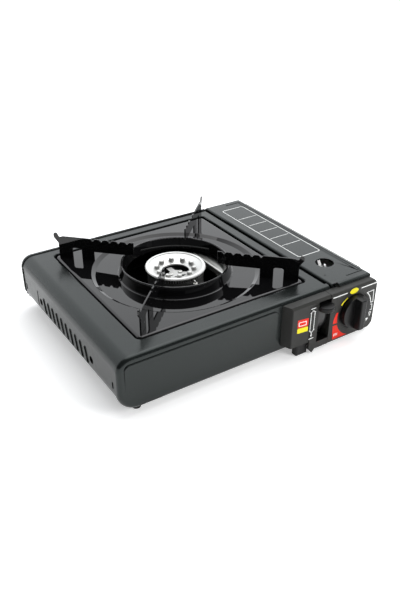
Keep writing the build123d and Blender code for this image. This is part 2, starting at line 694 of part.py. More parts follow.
# Lever housing: an open-backed moulding with a slot for the lever and a pointed tongue
with BuildPart() as lever_housing:
    for inset, mode in ((0, Mode.ADD), (MOULD_WALL, Mode.SUBTRACT)):
        with BuildSketch(Plane.XY.offset(HOUSING_BOTTOM + inset)):
            with BuildLine():
                Polyline(
                    (RIGHT_X - HOUSING_FROM_RIGHT + inset, FRONT_Y),
                    (RIGHT_X - HOUSING_FROM_RIGHT + HOUSING_SLANT + inset, FACE_Y + inset),
                    (SLOT_RIGHT - RUN_GAP, FACE_Y + inset),
                    (SLOT_RIGHT - RUN_GAP, FRONT_Y),
                    close=True,
                )
            make_face()
        extrude(amount=HOUSING_TOP - HOUSING_BOTTOM - 2 * inset, mode=mode)
        if mode == Mode.ADD:
            front_edges = lever_housing.faces().sort_by(Axis.Y)[0].edges()
            chamfer(front_edges.sort_by(Axis.Z)[-1], length=HOUSING_CHAMFER)
            fillet(lever_housing.faces().sort_by(Axis.Y)[0].edges().sort_by(Axis.X)[0], radius=MOULD_ROUND)
    # Wall left of the slot, an apron below it, then the slot itself, open towards the control panel
    with BuildSketch(Plane.XY.offset(SILL_BOTTOM)):
        with Locations((SLOT_LEFT, FRONT_Y)):
            Rectangle(MOULD_WALL, MOULD_DEPTH, align=(Align.MAX, Align.MAX))
    extrude(amount=HOUSING_TOP - SILL_BOTTOM - HOUSING_CHAMFER)
    with BuildSketch(Plane.XY.offset(SILL_BOTTOM)):
        with Locations((SLOT_LEFT, FRONT_Y)):
            Rectangle(SLOT_RIGHT - RUN_GAP - SLOT_LEFT, MOULD_DEPTH, align=(Align.MIN, Align.MAX))
    extrude(amount=HOUSING_BOTTOM + MOULD_WALL - SILL_BOTTOM)
    with BuildSketch(Plane.XY.offset(SILL_BOTTOM)):
        with Locations((SLOT_LEFT, FRONT_Y + OVERRUN)):
            Rectangle(
                SLOT_RIGHT - SLOT_LEFT - MOULD_WALL,
                MOULD_DEPTH - MOULD_WALL + OVERRUN,
                align=(Align.MIN, Align.MAX),
            )
    extrude(amount=LEVER_SLOT_SILL - MOULD_WALL - SILL_BOTTOM, mode=Mode.SUBTRACT)
    with BuildSketch(face_plane(FRONT_Y + OVERRUN)):
        with Locations((SLOT_LEFT, LEVER_SLOT_SILL)):
            Rectangle(
                SLOT_RIGHT - SLOT_LEFT,
                LEVER_SLOT_HEAD - LEVER_SLOT_SILL,
                align=(Align.MIN, Align.MIN),
            )
    extrude(amount=MOULD_DEPTH + 2 * OVERRUN, mode=Mode.SUBTRACT)
    # Raised strip with a pointed tongue below
    with BuildSketch(face_plane(FACE_Y + MOULD_WALL)):
        with BuildLine():
            Polyline(
                (SLOT_LEFT, STRIP_TOP),
                (SLOT_LEFT - STRIP_WIDTH, STRIP_TOP),
                (SLOT_LEFT - STRIP_WIDTH, TONGUE_TIP + TONGUE_POINT),
                (SLOT_LEFT - STRIP_WIDTH / 2, TONGUE_TIP),
                (SLOT_LEFT, TONGUE_TIP + TONGUE_POINT),
                close=True,
            )
        make_face()
    extrude(amount=MOULD_WALL + STRIP_PROUD)
lever_housing.part.label = "lever_housing"
export_step(lever_housing.part, "parts/lever_housing.step")

# Control panel: an open-backed moulding with a shallow round well for the knob
with BuildPart() as control_panel:
    for inset, mode in ((0, Mode.ADD), (MOULD_WALL, Mode.SUBTRACT)):
        with BuildSketch(face_plane(FRONT_Y)) as panel_face:
            with Locations(((SLOT_RIGHT + RIGHT_X) / 2, (CONTROL_BOTTOM + CONTROL_TOP) / 2)):
                Rectangle(RIGHT_X - SLOT_RIGHT - 2 * inset, CONTROL_TOP - CONTROL_BOTTOM - 2 * inset)
            top_corner = panel_face.vertices().group_by(Axis.X)[-1].sort_by(Axis.Y)[-1]
            fillet(top_corner, radius=CONTROL_TOP_CORNER - inset)
            low_corner = panel_face.vertices().group_by(Axis.X)[-1].sort_by(Axis.Y)[0]
            fillet(low_corner, radius=CONTROL_CORNER - inset)
        extrude(amount=MOULD_DEPTH - inset, mode=mode)
    rim = control_panel.faces().sort_by(Axis.Y)[0].edges()
    fillet(rim.filter_by(lambda e: e.center().X > SLOT_RIGHT + LAP), radius=CONTROL_ROUND)
    with BuildSketch(face_plane(FACE_Y + KNOB_WELL_DEPTH)):
        with Locations((BAY_X, BAY_AXIS_HEIGHT)):
            Circle(KNOB_R + KNOB_WELL_GAP)
    extrude(amount=KNOB_WELL_DEPTH + OVERRUN, mode=Mode.SUBTRACT)
    with BuildSketch(face_plane(FRONT_Y)):
        with Locations((BAY_X, BAY_AXIS_HEIGHT)):
            Circle(STEM_HOLE_R)
    extrude(amount=MOULD_DEPTH + OVERRUN, mode=Mode.SUBTRACT)
    # Step low on the right edge
    with BuildSketch(face_plane(FRONT_Y + OVERRUN)):
        with Locations((RIGHT_X, CONTROL_BOTTOM)):
            Rectangle(CONTROL_STEP, CONTROL_STEP_HEIGHT, align=(Align.MAX, Align.MIN))
    extrude(amount=MOULD_DEPTH + 2 * OVERRUN, mode=Mode.SUBTRACT)
control_panel.part.label = "control_panel"
export_step(control_panel.part, "parts/control_panel.step")

# Knob with an upright grip, on the valve stem
with BuildPart() as knob:
    with BuildSketch(face_plane(KNOB_BACK)):
        with Locations((BAY_X, BAY_AXIS_HEIGHT)):
            Circle(KNOB_R)
    extrude(amount=KNOB_DISC, taper=KNOB_DRAFT_ANGLE)
    with BuildSketch(face_plane(KNOB_BACK - KNOB_DISC + SHEET)):
        with Locations((BAY_X, BAY_AXIS_HEIGHT)):
            Circle(KNOB_R - KNOB_GRIP_INSET)
            Rectangle(KNOB_GRIP_WIDTH, 2 * KNOB_R, mode=Mode.INTERSECT)
    extrude(amount=KNOB_BACK - KNOB_DISC + SHEET - FACE_Y + KNOB_REACH, taper=KNOB_DRAFT_ANGLE)
    fillet(knob.faces().sort_by(Axis.Y)[0].edges(), radius=KNOB_ROUND)
    with BuildSketch(face_plane(KNOB_BACK + OVERRUN)):
        with Locations((BAY_X, BAY_AXIS_HEIGHT)):
            Circle(STEM_R + SHAFT_GAP)
    extrude(amount=STEM_IN_KNOB + OVERRUN, mode=Mode.SUBTRACT)
knob.part.label = "knob"
export_step(knob.part, "parts/knob.step")

with BuildPart() as valve_stem:
    with BuildSketch(face_plane(FRONT_Y + NEST + STEM_IN_VALVE)):
        with Locations((BAY_X, BAY_AXIS_HEIGHT)):
            Circle(STEM_R)
    extrude(amount=FRONT_Y + NEST + STEM_IN_VALVE - KNOB_BACK + STEM_IN_KNOB)
valve_stem.part.label = "valve_stem"
export_step(valve_stem.part, "parts/valve_stem.step")

# Regulator: round body with an inlet boss behind, a valve boss in front and a side boss for the jet
with BuildPart() as regulator_body:
    body_front = FRONT_Y + REGULATOR_FRONT
    body_back = body_front + REGULATOR_LENGTH
    with BuildSketch(face_plane(body_back)):
        with Locations((BAY_X, BAY_AXIS_HEIGHT)):
            Circle(REGULATOR_R)
            with Locations((REGULATOR_FLAT, 0)):
                Rectangle(REGULATOR_R, 2 * REGULATOR_R, align=(Align.MIN, Align.CENTER), mode=Mode.SUBTRACT)
    extrude(amount=REGULATOR_LENGTH)
    with BuildSketch(face_plane(body_back + INLET_BOSS_LENGTH)):
        with Locations((BAY_X, BAY_AXIS_HEIGHT)):
            Circle(INLET_BOSS_R)
    extrude(amount=INLET_BOSS_LENGTH + OVERRUN)
    with BuildSketch(face_plane(body_front + OVERRUN)):
        with Locations((BAY_X, BAY_AXIS_HEIGHT)):
            Circle(VALVE_BOSS_R)
    extrude(amount=REGULATOR_FRONT + OVERRUN - NEST)
    with BuildSketch(gas_plane(-JET_BOSS_LENGTH)):
        Circle(JET_BOSS_R)
    extrude(amount=2 * JET_BOSS_LENGTH)
    with BuildSketch(face_plane(body_back + INLET_BOSS_LENGTH + OVERRUN)):
        with Locations((BAY_X, BAY_AXIS_HEIGHT)):
            Circle(INLET_R)
    extrude(amount=INLET_DEPTH + OVERRUN, mode=Mode.SUBTRACT)
    with BuildSketch(face_plane(body_back + INLET_BOSS_LENGTH + OVERRUN)):
        with Locations((BAY_X, BAY_AXIS_HEIGHT)):
            Circle(SEAL_R + LAP)
    extrude(amount=SEAL_THICK + OVERRUN, mode=Mode.SUBTRACT)
    with BuildSketch(face_plane(FRONT_Y + NEST + STEM_IN_VALVE + LAP)):
        with Locations((BAY_X, BAY_AXIS_HEIGHT)):
            Circle(STEM_R + SHAFT_GAP)
    extrude(amount=STEM_IN_VALVE + OVERRUN, mode=Mode.SUBTRACT)
regulator_body.part.label = "regulator_body"
export_step(regulator_body.part, "parts/regulator_body.step")

with BuildPart() as inlet_seal:
    with BuildSketch(face_plane(body_back + INLET_BOSS_LENGTH)):
        with Locations((BAY_X, BAY_AXIS_HEIGHT)):
            Circle(SEAL_R)
            Circle(INLET_R, mode=Mode.SUBTRACT)
    extrude(amount=SEAL_THICK)
inlet_seal.part.label = "inlet_seal"
export_step(inlet_seal.part, "parts/inlet_seal.step")

with BuildPart() as diaphragm_cover:
    with BuildSketch(side_plane(BAY_X + REGULATOR_FLAT)):
        with Locations((body_front + REGULATOR_LENGTH / 2, BAY_AXIS_HEIGHT)):
            Circle(COVER_R)
    extrude(amount=COVER_THICK)
    fillet(diaphragm_cover.faces().sort_by(Axis.X)[-1].edges(), radius=COVER_ROUND)
diaphragm_cover.part.label = "diaphragm_cover"
export_step(diaphragm_cover.part, "parts/diaphragm_cover.step")

with BuildPart() as jet_nozzle:
    with BuildSketch(gas_plane(JET_BOSS_LENGTH)):
        Circle(JET_R)
    extrude(amount=JET_LENGTH, taper=KNOB_DRAFT_ANGLE)
    with BuildSketch(gas_plane(JET_BOSS_LENGTH)):
        Circle(JET_BORE_R)
    extrude(amount=JET_LENGTH, mode=Mode.SUBTRACT)
jet_nozzle.part.label = "jet_nozzle"
export_step(jet_nozzle.part, "parts/jet_nozzle.step")

# Mixing tube from just past the jet to the burner bowl
tube_start = JET_BOSS_LENGTH + JET_LENGTH + RUN_GAP
tube_end = GAS_RUN - BOWL_R + 2 * BOWL_WALL
with BuildPart() as mixing_tube:
    with BuildSketch(gas_plane(tube_start)):
        Circle(TUBE_R)
        Circle(TUBE_R - TUBE_WALL, mode=Mode.SUBTRACT)
    extrude(amount=tube_end - tube_start)
mixing_tube.part.label = "mixing_tube"
export_step(mixing_tube.part, "parts/mixing_tube.step")

with BuildPart() as piezo_unit:
    with BuildSketch(face_plane(FRONT_Y + REGULATOR_FRONT + REGULATOR_LENGTH)):
        with Locations((BAY_X, BAY_AXIS_HEIGHT - REGULATOR_R - LAP - PIEZO_R)):
            Circle(PIEZO_R)
    extrude(amount=PIEZO_LENGTH)
piezo_unit.part.label = "piezo_unit"
export_step(piezo_unit.part, "parts/piezo_unit.step")

# Valve bracket: a shelf over the regulator with two ears for the lever pin
with BuildPart() as valve_bracket:
    shelf_left = SLOT_LEFT - LEVER_CLEAR
    shelf_mid = SLOT_RIGHT
    shelf_right = BAY_X + SHELF_RIGHT_PAST_AXIS
    with BuildSketch(Plane.XY.offset(SHELF_Z)):
        with BuildLine():
            Polyline(
                (shelf_left, FRONT_Y + SHELF_STEP),
                (shelf_mid, FRONT_Y + SHELF_STEP),
                (shelf_mid, BAY_FRONT),
                (shelf_right, BAY_FRONT),
                (shelf_right, FRONT_Y + SHELF_BACK),
                (shelf_left, FRONT_Y + SHELF_BACK),
                close=True,
            )
        make_face()
    extrude(amount=BRACKET_SHEET)
    for ear_x in (shelf_left, shelf_mid):
        with BuildSketch(side_plane(ear_x)):
            with BuildLine():
                Polyline(
                    (PIVOT_Y - EAR_HALF, SHELF_TOP),
                    (FRONT_Y + SHELF_STEP + BRACKET_SHEET, SHELF_TOP),
                    (FRONT_Y + SHELF_STEP + BRACKET_SHEET, EAR_WIDE_HEIGHT),
                    (PIVOT_Y + EAR_HALF, LEVER_PIVOT_HEIGHT),
                    (PIVOT_Y + EAR_HALF, LEVER_PIVOT_HEIGHT - EAR_DROP),
                    (PIVOT_Y - EAR_HALF, LEVER_PIVOT_HEIGHT - EAR_DROP),
                    close=True,
                )
            make_face()
            with Locations((PIVOT_Y, LEVER_PIVOT_HEIGHT)):
                Circle(LEVER_PIN_R + SHAFT_GAP, mode=Mode.SUBTRACT)
        extrude(amount=BRACKET_SHEET)
valve_bracket.part.label = "valve_bracket"
export_step(valve_bracket.part, "parts/valve_bracket.step")

with BuildPart() as lever_pin:
    with BuildSketch(side_plane(shelf_left - LAP)):
        with Locations((PIVOT_Y, LEVER_PIVOT_HEIGHT)):
            Circle(LEVER_PIN_R)
    extrude(amount=shelf_mid + BRACKET_SHEET + LAP - shelf_left + LAP)
lever_pin.part.label = "lever_pin"
export_step(lever_pin.part, "parts/lever_pin.step")

# Lock lever: a drum that closes the slot, a rounded thumb pad in front and a crank with a drive pin
with BuildPart() as lock_lever:
    pivot = (PIVOT_Y, LEVER_PIVOT_HEIGHT)
    with BuildSketch(side_plane(LEVER_LEFT)):
        with BuildLine():
            arc = CenterArc(pivot, DRUM_R, 180 - DRUM_TOP_ANGLE, DRUM_TOP_ANGLE + DRUM_LOW_ANGLE)
            Polyline(arc @ 1, pivot, arc @ 0)
        make_face()
        with Locations(pivot):
            Circle(LEVER_HUB_R)
    extrude(amount=LEVER_RIGHT - LEVER_LEFT)
    # Neck and thumb pad
    with BuildSketch(Plane.XY.offset(PAD_HEIGHT - PAD_THICK / 2)):
        with Locations((LEVER_MID, FACE_Y - PAD_STANDOFF)):
            Rectangle(
                LEVER_RIGHT - LEVER_LEFT,
                MOULD_DEPTH + LEVER_PIVOT_FROM_FRONT - DRUM_R / 2,
                align=(Align.CENTER, Align.MIN),
            )
    extrude(amount=PAD_THICK)
    with BuildSketch(Plane.XY.offset(PAD_HEIGHT - PAD_THICK / 2)):
        with Locations((LEVER_MID, FACE_Y - PAD_STANDOFF)):
            Circle(PAD_R)
            Rectangle(2 * PAD_R, PAD_R, align=(Align.CENTER, Align.MIN), mode=Mode.SUBTRACT)
    extrude(amount=PAD_THICK)
    pad_rim = [e for e in lock_lever.edges().filter_by(GeomType.CIRCLE) if abs(e.radius - PAD_R) < LAP]
    fillet(pad_rim, radius=PAD_ROUND)
    # Crank that leans back at rest, and its drive pin
    crank_angle = 90 - LEVER_TURN_ANGLE / 2
    crank_y = PIVOT_Y + CRANK_R * math.cos(math.radians(crank_angle))
    crank_z = LEVER_PIVOT_HEIGHT + CRANK_R * math.sin(math.radians(crank_angle))
    with BuildSketch(side_plane(LEVER_LEFT)):
        with Locations(((PIVOT_Y + crank_y) / 2, (LEVER_PIVOT_HEIGHT + crank_z) / 2)):
            SlotCenterToCenter(CRANK_R, 2 * CRANK_PIN_R + SHEET, rotation=crank_angle)
    extrude(amount=CRANK_WIDTH)
    with BuildSketch(side_plane(LEVER_LEFT)):
        with Locations((crank_y, crank_z)):
            Circle(CRANK_PIN_R)
    extrude(amount=CRANK_WIDTH + CRANK_PIN_LENGTH)
    with BuildSketch(side_plane(LEVER_LEFT - OVERRUN)):
        with Locations(pivot):
            Circle(LEVER_PIN_R + SHAFT_GAP)
    extrude(amount=LEVER_RIGHT - LEVER_LEFT + 2 * OVERRUN, mode=Mode.SUBTRACT)
lock_lever.part.label = "lock_lever"
export_step(lock_lever.part, "parts/lock_lever.step")

# Shoulder studs that hold the lock plate down on the shelf
stud_places = [(BAY_X - STUD_SPREAD, FRONT_Y + STUD_FROM_FRONT), (BAY_X, FRONT_Y + STUD_FROM_FRONT)]
with BuildPart() as lock_studs:
    with BuildSketch(Plane.XY.offset(SHELF_TOP)):
        with Locations(*stud_places):
            Circle(STUD_R)
    extrude(amount=LOCK_SHEET + 2 * RUN_GAP)
    with BuildSketch(Plane.XY.offset(PLATE_Z + LOCK_SHEET + RUN_GAP)):
        with Locations(*stud_places):
            Circle(STUD_HEAD_R)
    extrude(amount=STUD_HEAD)
lock_studs.part.label = "lock_studs"
export_step(lock_studs.part, "parts/lock_studs.step")

# Lock plate: slides on the shelf, driven by the crank pin, and carries the fork and a prong
lock_travel = 2 * CRANK_R * math.sin(math.radians(LEVER_TURN_ANGLE / 2))
tab_x = LEVER_LEFT + CRANK_WIDTH + RUN_GAP
with BuildPart() as lock_plate:
    plate_left = tab_x
    plate_right = BAY_X + FORK_SPREAD / 2 + FORK_WIDTH / 2
    with BuildSketch(Plane.XY.offset(PLATE_Z)):
        with BuildLine():
            Polyline(
                (plate_left, crank_y - LOCK_TAB_HALF),
                (plate_left + LOCK_SHEET, crank_y - LOCK_TAB_HALF),
                (plate_left + LOCK_SHEET, FRONT_Y + PLATE_FRONT - FORK_WIDTH),
                (plate_right, FRONT_Y + PLATE_FRONT - FORK_WIDTH),
                (plate_right, FRONT_Y + PRONG_FROM_FRONT),
                (plate_left, FRONT_Y + PRONG_FROM_FRONT),
                close=True,
            )
        make_face()
        with Locations(*stud_places):
            with Locations((0, lock_travel / 2)):
                SlotOverall(
                    lock_travel + 2 * (STUD_R + LOCK_SLOT_GAP),
                    2 * (STUD_R + LOCK_SLOT_GAP),
                    rotation=90,
                    mode=Mode.SUBTRACT,
                )
    extrude(amount=LOCK_SHEET)
    # Drive tab with an upright slot for the crank pin
    slot_half = CRANK_PIN_R + LOCK_SLOT_GAP
    slot_low = crank_z - slot_half
    slot_high = LEVER_PIVOT_HEIGHT + CRANK_R + slot_half
    with BuildSketch(side_plane(tab_x)):
        with BuildLine():
            Polyline(
                (crank_y - LOCK_TAB_HALF, PLATE_Z + LOCK_SHEET),
                (crank_y + LOCK_TAB_HALF, PLATE_Z + LOCK_SHEET),
                (crank_y + LOCK_TAB_HALF, slot_low - LOCK_SHEET - LOCK_SLOT_PLAY),
                (crank_y - LOCK_TAB_HALF, slot_low - LOCK_SHEET - LOCK_SLOT_PLAY),
                close=True,
            )
        make_face()
        with Locations((crank_y, (slot_low + slot_high) / 2)):
            Rectangle(2 * slot_half, slot_high - slot_low + LOCK_SLOT_PLAY, mode=Mode.SUBTRACT)
    extrude(amount=LOCK_SHEET)
    # Fork fingers turned down behind the cartridge collar, and a prong turned up between them
    for finger_x in (BAY_X - FORK_SPREAD / 2, BAY_X + FORK_SPREAD / 2):
        with BuildSketch(Plane.XY.offset(PLATE_Z)):
            with Locations((finger_x, FRONT_Y + PRONG_FROM_FRONT - SHEET)):
                Rectangle(
                    FORK_WIDTH, FORK_REACH - PRONG_FROM_FRONT + SHEET, align=(Align.CENTER, Align.MIN)
                )
        extrude(amount=LOCK_SHEET)
        with BuildSketch(Plane.XY.offset(PLATE_Z + LOCK_SHEET)):
            with Locations((finger_x, FRONT_Y + FORK_REACH)):
                Rectangle(FORK_WIDTH, LOCK_SHEET, align=(Align.CENTER, Align.MAX))
        extrude(amount=-FORK_DROP)
    with BuildSketch(Plane.XY.offset(PLATE_Z)):
        with Locations((BAY_X, FRONT_Y + PRONG_FROM_FRONT)):
            Rectangle(PRONG_WIDTH, LOCK_SHEET, align=(Align.CENTER, Align.MAX))
    extrude(amount=PRONG_HEIGHT)
lock_plate.part.label = "lock_plate"
export_step(lock_plate.part, "parts/lock_plate.step")

# Guide tab that meets the notch in the cartridge collar
with BuildPart() as guide_tab:
    with BuildSketch(Plane.XY.offset(SHELF_Z)):
        with Locations((BAY_X, body_back + GUIDE_PAST_REGULATOR)):
            Rectangle(
                GUIDE_WIDTH, GUIDE_PAST_REGULATOR - LAP, align=(Align.CENTER, Align.MAX)
            )
    extrude(amount=-BRACKET_SHEET)
    with BuildSketch(Plane.XY.offset(SHELF_Z - BRACKET_SHEET)):
        with Locations((BAY_X, body_back + GUIDE_PAST_REGULATOR)):
            Rectangle(PRONG_WIDTH, BRACKET_SHEET, align=(Align.CENTER, Align.MAX))
    extrude(amount=BRACKET_SHEET + GUIDE_RISE)
guide_tab.part.label = "guide_tab"
export_step(guide_tab.part, "parts/guide_tab.step")

# Lid: a bent sheet rolled down at both ends, with a round window and eyes on the hinge pins
def lid_block(inset):
    """Block inside the lid's outer or inner face: bent over its long edges and rolled down at its ends."""
    low = LID_TOP - LID_SKIRT - 2 * inset
    with BuildPart() as block:
        with BuildSketch(face_plane(LID_FRONT + inset)):
            with BuildLine():
                bent = FilletPolyline(
                    (LID_LEFT + inset, low),
                    (LID_LEFT + inset, LID_TOP - inset),
                    (LID_RIGHT - inset, LID_TOP - inset),
                    (LID_RIGHT - inset, low),
                    radius=[LID_EDGE_BEND - inset, LID_BEND - inset],
                )
                Line(bent @ 1, bent @ 0)
            make_face()
        extrude(amount=-(LID_LENGTH - 2 * inset))
        with BuildSketch(side_plane(LID_LEFT)):
            with BuildLine():
                rolled = FilletPolyline(
                    (LID_FRONT + inset, low),
                    (LID_FRONT + inset, LID_TOP - inset),
                    (LID_BACK - inset, LID_TOP - inset),
                    (LID_BACK - inset, low),
                    radius=LID_ROUND - inset,
                )
                Line(rolled @ 1, rolled @ 0)
            make_face()
        extrude(amount=LID_RIGHT - LID_LEFT, mode=Mode.INTERSECT)
    return block.part


lid_outside = lid_block(0)
lid_inside = lid_block(SHEET)
with BuildPart() as lid:
    add(lid_outside)
    add(lid_inside, mode=Mode.SUBTRACT)
    # The fold on the hinge side is short, and the back wall ends in a lip
    with BuildSketch(face_plane(LID_FRONT - OVERRUN)):
        with Locations((LID_LEFT - OVERRUN, LID_TOP - LID_HINGE_FOLD)):
            Rectangle(OVERRUN + SHEET + LAP, LID_SKIRT, align=(Align.MIN, Align.MAX))
    extrude(amount=-(LID_LENGTH + 2 * OVERRUN), mode=Mode.SUBTRACT)
    with BuildSketch(face_plane(LID_BACK + OVERRUN)):
        with BuildLine():
            Polyline(
                (LID_LEFT - OVERRUN, LID_TOP - LID_LIP),
                (LID_RIGHT - LID_BEND, LID_TOP - LID_LIP),
                (LID_RIGHT - SHEET, LID_TOP - LID_BEND - LID_LIP),
                (LID_RIGHT - SHEET, LID_TOP - LID_SKIRT - OVERRUN),
                (LID_LEFT - OVERRUN, LID_TOP - LID_SKIRT - OVERRUN),
                close=True,
            )
        make_face()
    extrude(amount=OVERRUN + SHEET + LAP, mode=Mode.SUBTRACT)
    # Relief above the control panel and the front panel
    with BuildSketch(Plane.XY.offset(LID_TOP - LID_LIP)):
        with Locations((LID_LEFT - OVERRUN, LID_FRONT - OVERRUN)):
            Rectangle(
                LID_RIGHT - LID_LEFT + 2 * OVERRUN,
                BAY_FRONT + RUN_GAP - LID_FRONT + OVERRUN,
                align=(Align.MIN, Align.MIN),
            )
    extrude(amount=-LID_SKIRT, mode=Mode.SUBTRACT)
    # Front corner cut back at the hinge, so the lid clears the control panel as it opens
    with BuildSketch(Plane.XY.offset(LID_TOP + OVERRUN)):
        with Locations((LID_LEFT - OVERRUN, LID_FRONT - OVERRUN)):
            Rectangle(
                HINGE_FROM_EDGE + LID_CORNER + OVERRUN,
                BAY_FRONT + RUN_GAP - LID_FRONT + OVERRUN,
                align=(Align.MIN, Align.MIN),
            )
    extrude(amount=-LID_SKIRT, mode=Mode.SUBTRACT)
    # Eyes that turn on the hinge pins
    for eye_y in (FRONT_Y + EYE_FROM_PANEL, LID_BACK - LID_ROUND - EYE_THICK):
        with BuildSketch(face_plane(eye_y)):
            with Locations((HINGE_X, HINGE_Z)):
                Circle(EYE_R)
                Rectangle(2 * EYE_R, HINGE_DROP - SHEET / 2, align=(Align.CENTER, Align.MIN))
                Circle(HINGE_PIN_R + SHAFT_GAP, mode=Mode.SUBTRACT)
        extrude(amount=-EYE_THICK)
    # Window over the cartridge collar
    with BuildSketch(Plane.XY.offset(LID_TOP + OVERRUN)):
        with Locations((LID_LEFT + WINDOW_FROM_EDGE, FRONT_Y + WINDOW_FROM_FRONT)):
            Circle(WINDOW_R)
    extrude(amount=-(OVERRUN + 2 * SHEET), mode=Mode.SUBTRACT)
    # Finger ridges along the right edge, stiffening beads and a stop dimple
    with BuildSketch(face_plane(LID_FRONT + RIDGE_FROM_END)):
        for ridge in range(RIDGE_COUNT):
            with Locations((LID_RIGHT - RIDGE_FROM_RIGHT - ridge * RIDGE_SPACING, LID_TOP - RIDGE_R / 3)):
                Circle(RIDGE_R)
    extrude(amount=-(LID_LENGTH - 2 * RIDGE_FROM_END))
    with BuildSketch(Plane.XY.offset(LID_TOP - SHEET / 2)):
        with Locations(
            (LID_RIGHT - BEAD_FROM_RIGHT, LID_FRONT + BEAD_FROM_END),
            (LID_RIGHT - BEAD_FROM_RIGHT, LID_BACK - BEAD_FROM_END),
        ):
            SlotOverall(BEAD_LENGTH, BEAD_WIDTH)
        with Locations((LID_LEFT + DIMPLE_FROM_EDGE, FRONT_Y + DIMPLE_FROM_FRONT)):
            Circle(DIMPLE_R)
    extrude(amount=SHEET / 2 + BEAD_HEIGHT, taper=BEAD_TAPER_ANGLE)
lid.part.label = "lid"
export_step(lid.part, "parts/lid.step")

for pin_name, pin_y in (
    ("lid_pin_front", FRONT_Y + SHEET),
    ("lid_pin_back", BACK_Y - SHEET - HINGE_PIN_LENGTH),
):
    with BuildPart() as lid_pin:
        with BuildSketch(face_plane(pin_y)):
            with Locations((HINGE_X, HINGE_Z)):
                Circle(HINGE_PIN_R)
        extrude(amount=-HINGE_PIN_LENGTH)
    lid_pin.part.label = pin_name
    export_step(lid_pin.part, f"parts/{pin_name}.step")

# Drip tray: a square pressing with a round dish and a raised ring about the burner well
BURNER_AXIS = Axis((TRAY_X, TRAY_Y, 0), (0, 0, 1))
RADIAL_PLANE = Plane(origin=(TRAY_X, TRAY_Y, 0), x_dir=(1, 0, 0), z_dir=(0, -1, 0))
dish_floor = TRAY_FLAT - DISH_STEP - DISH_SLOPE
arm_angles = {"front_left": 225, "front_right": 315, "back_right": 45, "back_left": 135}
ARM_LEGS = ((ARM_LEG_END + ARM_LEG_SPLIT_INNER) / 2, (ARM_LEG_SPLIT_OUTER + ARM_OUTER) / 2)


def tray_block(inset, depth):
    """Square block with a rolled top edge, inset from the tray's outside."""
    with BuildPart() as block:
        with BuildSketch(Plane.XY.offset(TRAY_FLAT - inset)):
            with Locations((TRAY_X, TRAY_Y)):
                RectangleRounded(TRAY_SIZE - 2 * inset, TRAY_SIZE - 2 * inset, TRAY_CORNER - inset)
        extrude(amount=-depth)
        fillet(block.faces().sort_by(Axis.Z)[-1].edges(), radius=TRAY_ROLL - inset)
    return block.part


tray_outside = tray_block(0, TRAY_FLAT - LEDGE_TOP - TRAY_DROP_GAP)
tray_inside = tray_block(SHEET, TRAY_RECESS)
with BuildPart() as drip_tray:
    add(tray_outside)
    add(tray_inside, mode=Mode.SUBTRACT)
    with BuildSketch(Plane.XY.offset(TRAY_FLAT + OVERRUN)):
        with Locations((TRAY_X, TRAY_Y)):
            Circle(DISH_R + DISH_BEND)
    extrude(amount=-(2 * OVERRUN + SHEET), mode=Mode.SUBTRACT)
    with BuildSketch(RADIAL_PLANE):
        with BuildLine():
            FilletPolyline(
                (DISH_R + 2 * DISH_BEND, TRAY_FLAT),
                (DISH_R, TRAY_FLAT),
                (DISH_R - DISH_RUN, TRAY_FLAT - DISH_STEP),
                (RING_FOOT_R, dish_floor),
                (RING_R + RING_BEND / 2, RING_TOP),
                (RING_R - RING_BEND / 2, RING_TOP),
                (RING_WELL_R, TRAY_FLAT - RING_WELL_DEPTH),
                radius=[DISH_BEND, DISH_BEND, RING_BEND, DISH_BEND, DISH_BEND],
            )
            offset(amount=SHEET, side=Side.LEFT)
        make_face()
    revolve(axis=BURNER_AXIS)
    # Slots for the pan supports' tenons
    with BuildSketch(Plane.XY.offset(TRAY_FLAT + OVERRUN)):
        with Locations((TRAY_X, TRAY_Y)):
            for leg_mid in ARM_LEGS:
                with PolarLocations(leg_mid, len(arm_angles), start_angle=45):
                    Rectangle(TENON_LENGTH + 2 * LAP, ARM_SHEET + 2 * LAP)
    extrude(amount=-(2 * OVERRUN), mode=Mode.SUBTRACT)
drip_tray.part.label = "drip_tray"
export_step(drip_tray.part, "parts/drip_tray.step")

# Four pan-support arms on the tray's diagonals: two legs, a window between them, teeth and a horn
tooth_pitch = (ARM_PLAIN_TOP - ARM_INNER) / TOOTH_COUNT
arm_top_edge = []
for tooth in range(TOOTH_COUNT):
    peak = ARM_INNER + tooth * tooth_pitch
    arm_top_edge += [(peak, ARM_HEIGHT), (peak + tooth_pitch / 2, ARM_HEIGHT)]
    arm_top_edge += [(peak + tooth_pitch * TOOTH_VALLEY_SHARE, ARM_HEIGHT - TOOTH_DEPTH)]
arm_outline = [
    (ARM_OUTER, 0),
    (ARM_OUTER, ARM_HEIGHT - HORN_ROOT),
    (ARM_OUTER + HORN_LEAN, ARM_HEIGHT - HORN_NOTCH),
    (ARM_OUTER + HORN_LEAN, ARM_HEIGHT + HORN_RISE),
    (ARM_OUTER + HORN_LEAN - HORN_WIDTH, ARM_HEIGHT + HORN_RISE),
    (ARM_OUTER - HORN_NOTCH_IN, ARM_HEIGHT - HORN_NOTCH),
    (ARM_OUTER - HORN_SHOULDER, ARM_HEIGHT),
    (ARM_PLAIN_TOP, ARM_HEIGHT),
    *reversed(arm_top_edge),
    (ARM_INNER, RING_HEIGHT + ARM_RING_GAP + ARM_NOSE_SLOPE),
    (RING_R, RING_HEIGHT + ARM_RING_GAP),
    (ARM_LEG_END, RING_HEIGHT + ARM_RING_GAP),
    (ARM_LEG_END, 0),
    (ARM_LEG_SPLIT_INNER, 0),
    (ARM_LEG_SPLIT_INNER, ARM_WINDOW),
    (ARM_LEG_SPLIT_OUTER, ARM_WINDOW),
    (ARM_LEG_SPLIT_OUTER, 0),
]
horn_tip = (arm_outline[3], arm_outline[4])
horn_bends = (arm_outline[1], arm_outline[2], arm_outline[5])
window_corners = (arm_outline[-3], arm_outline[-2])


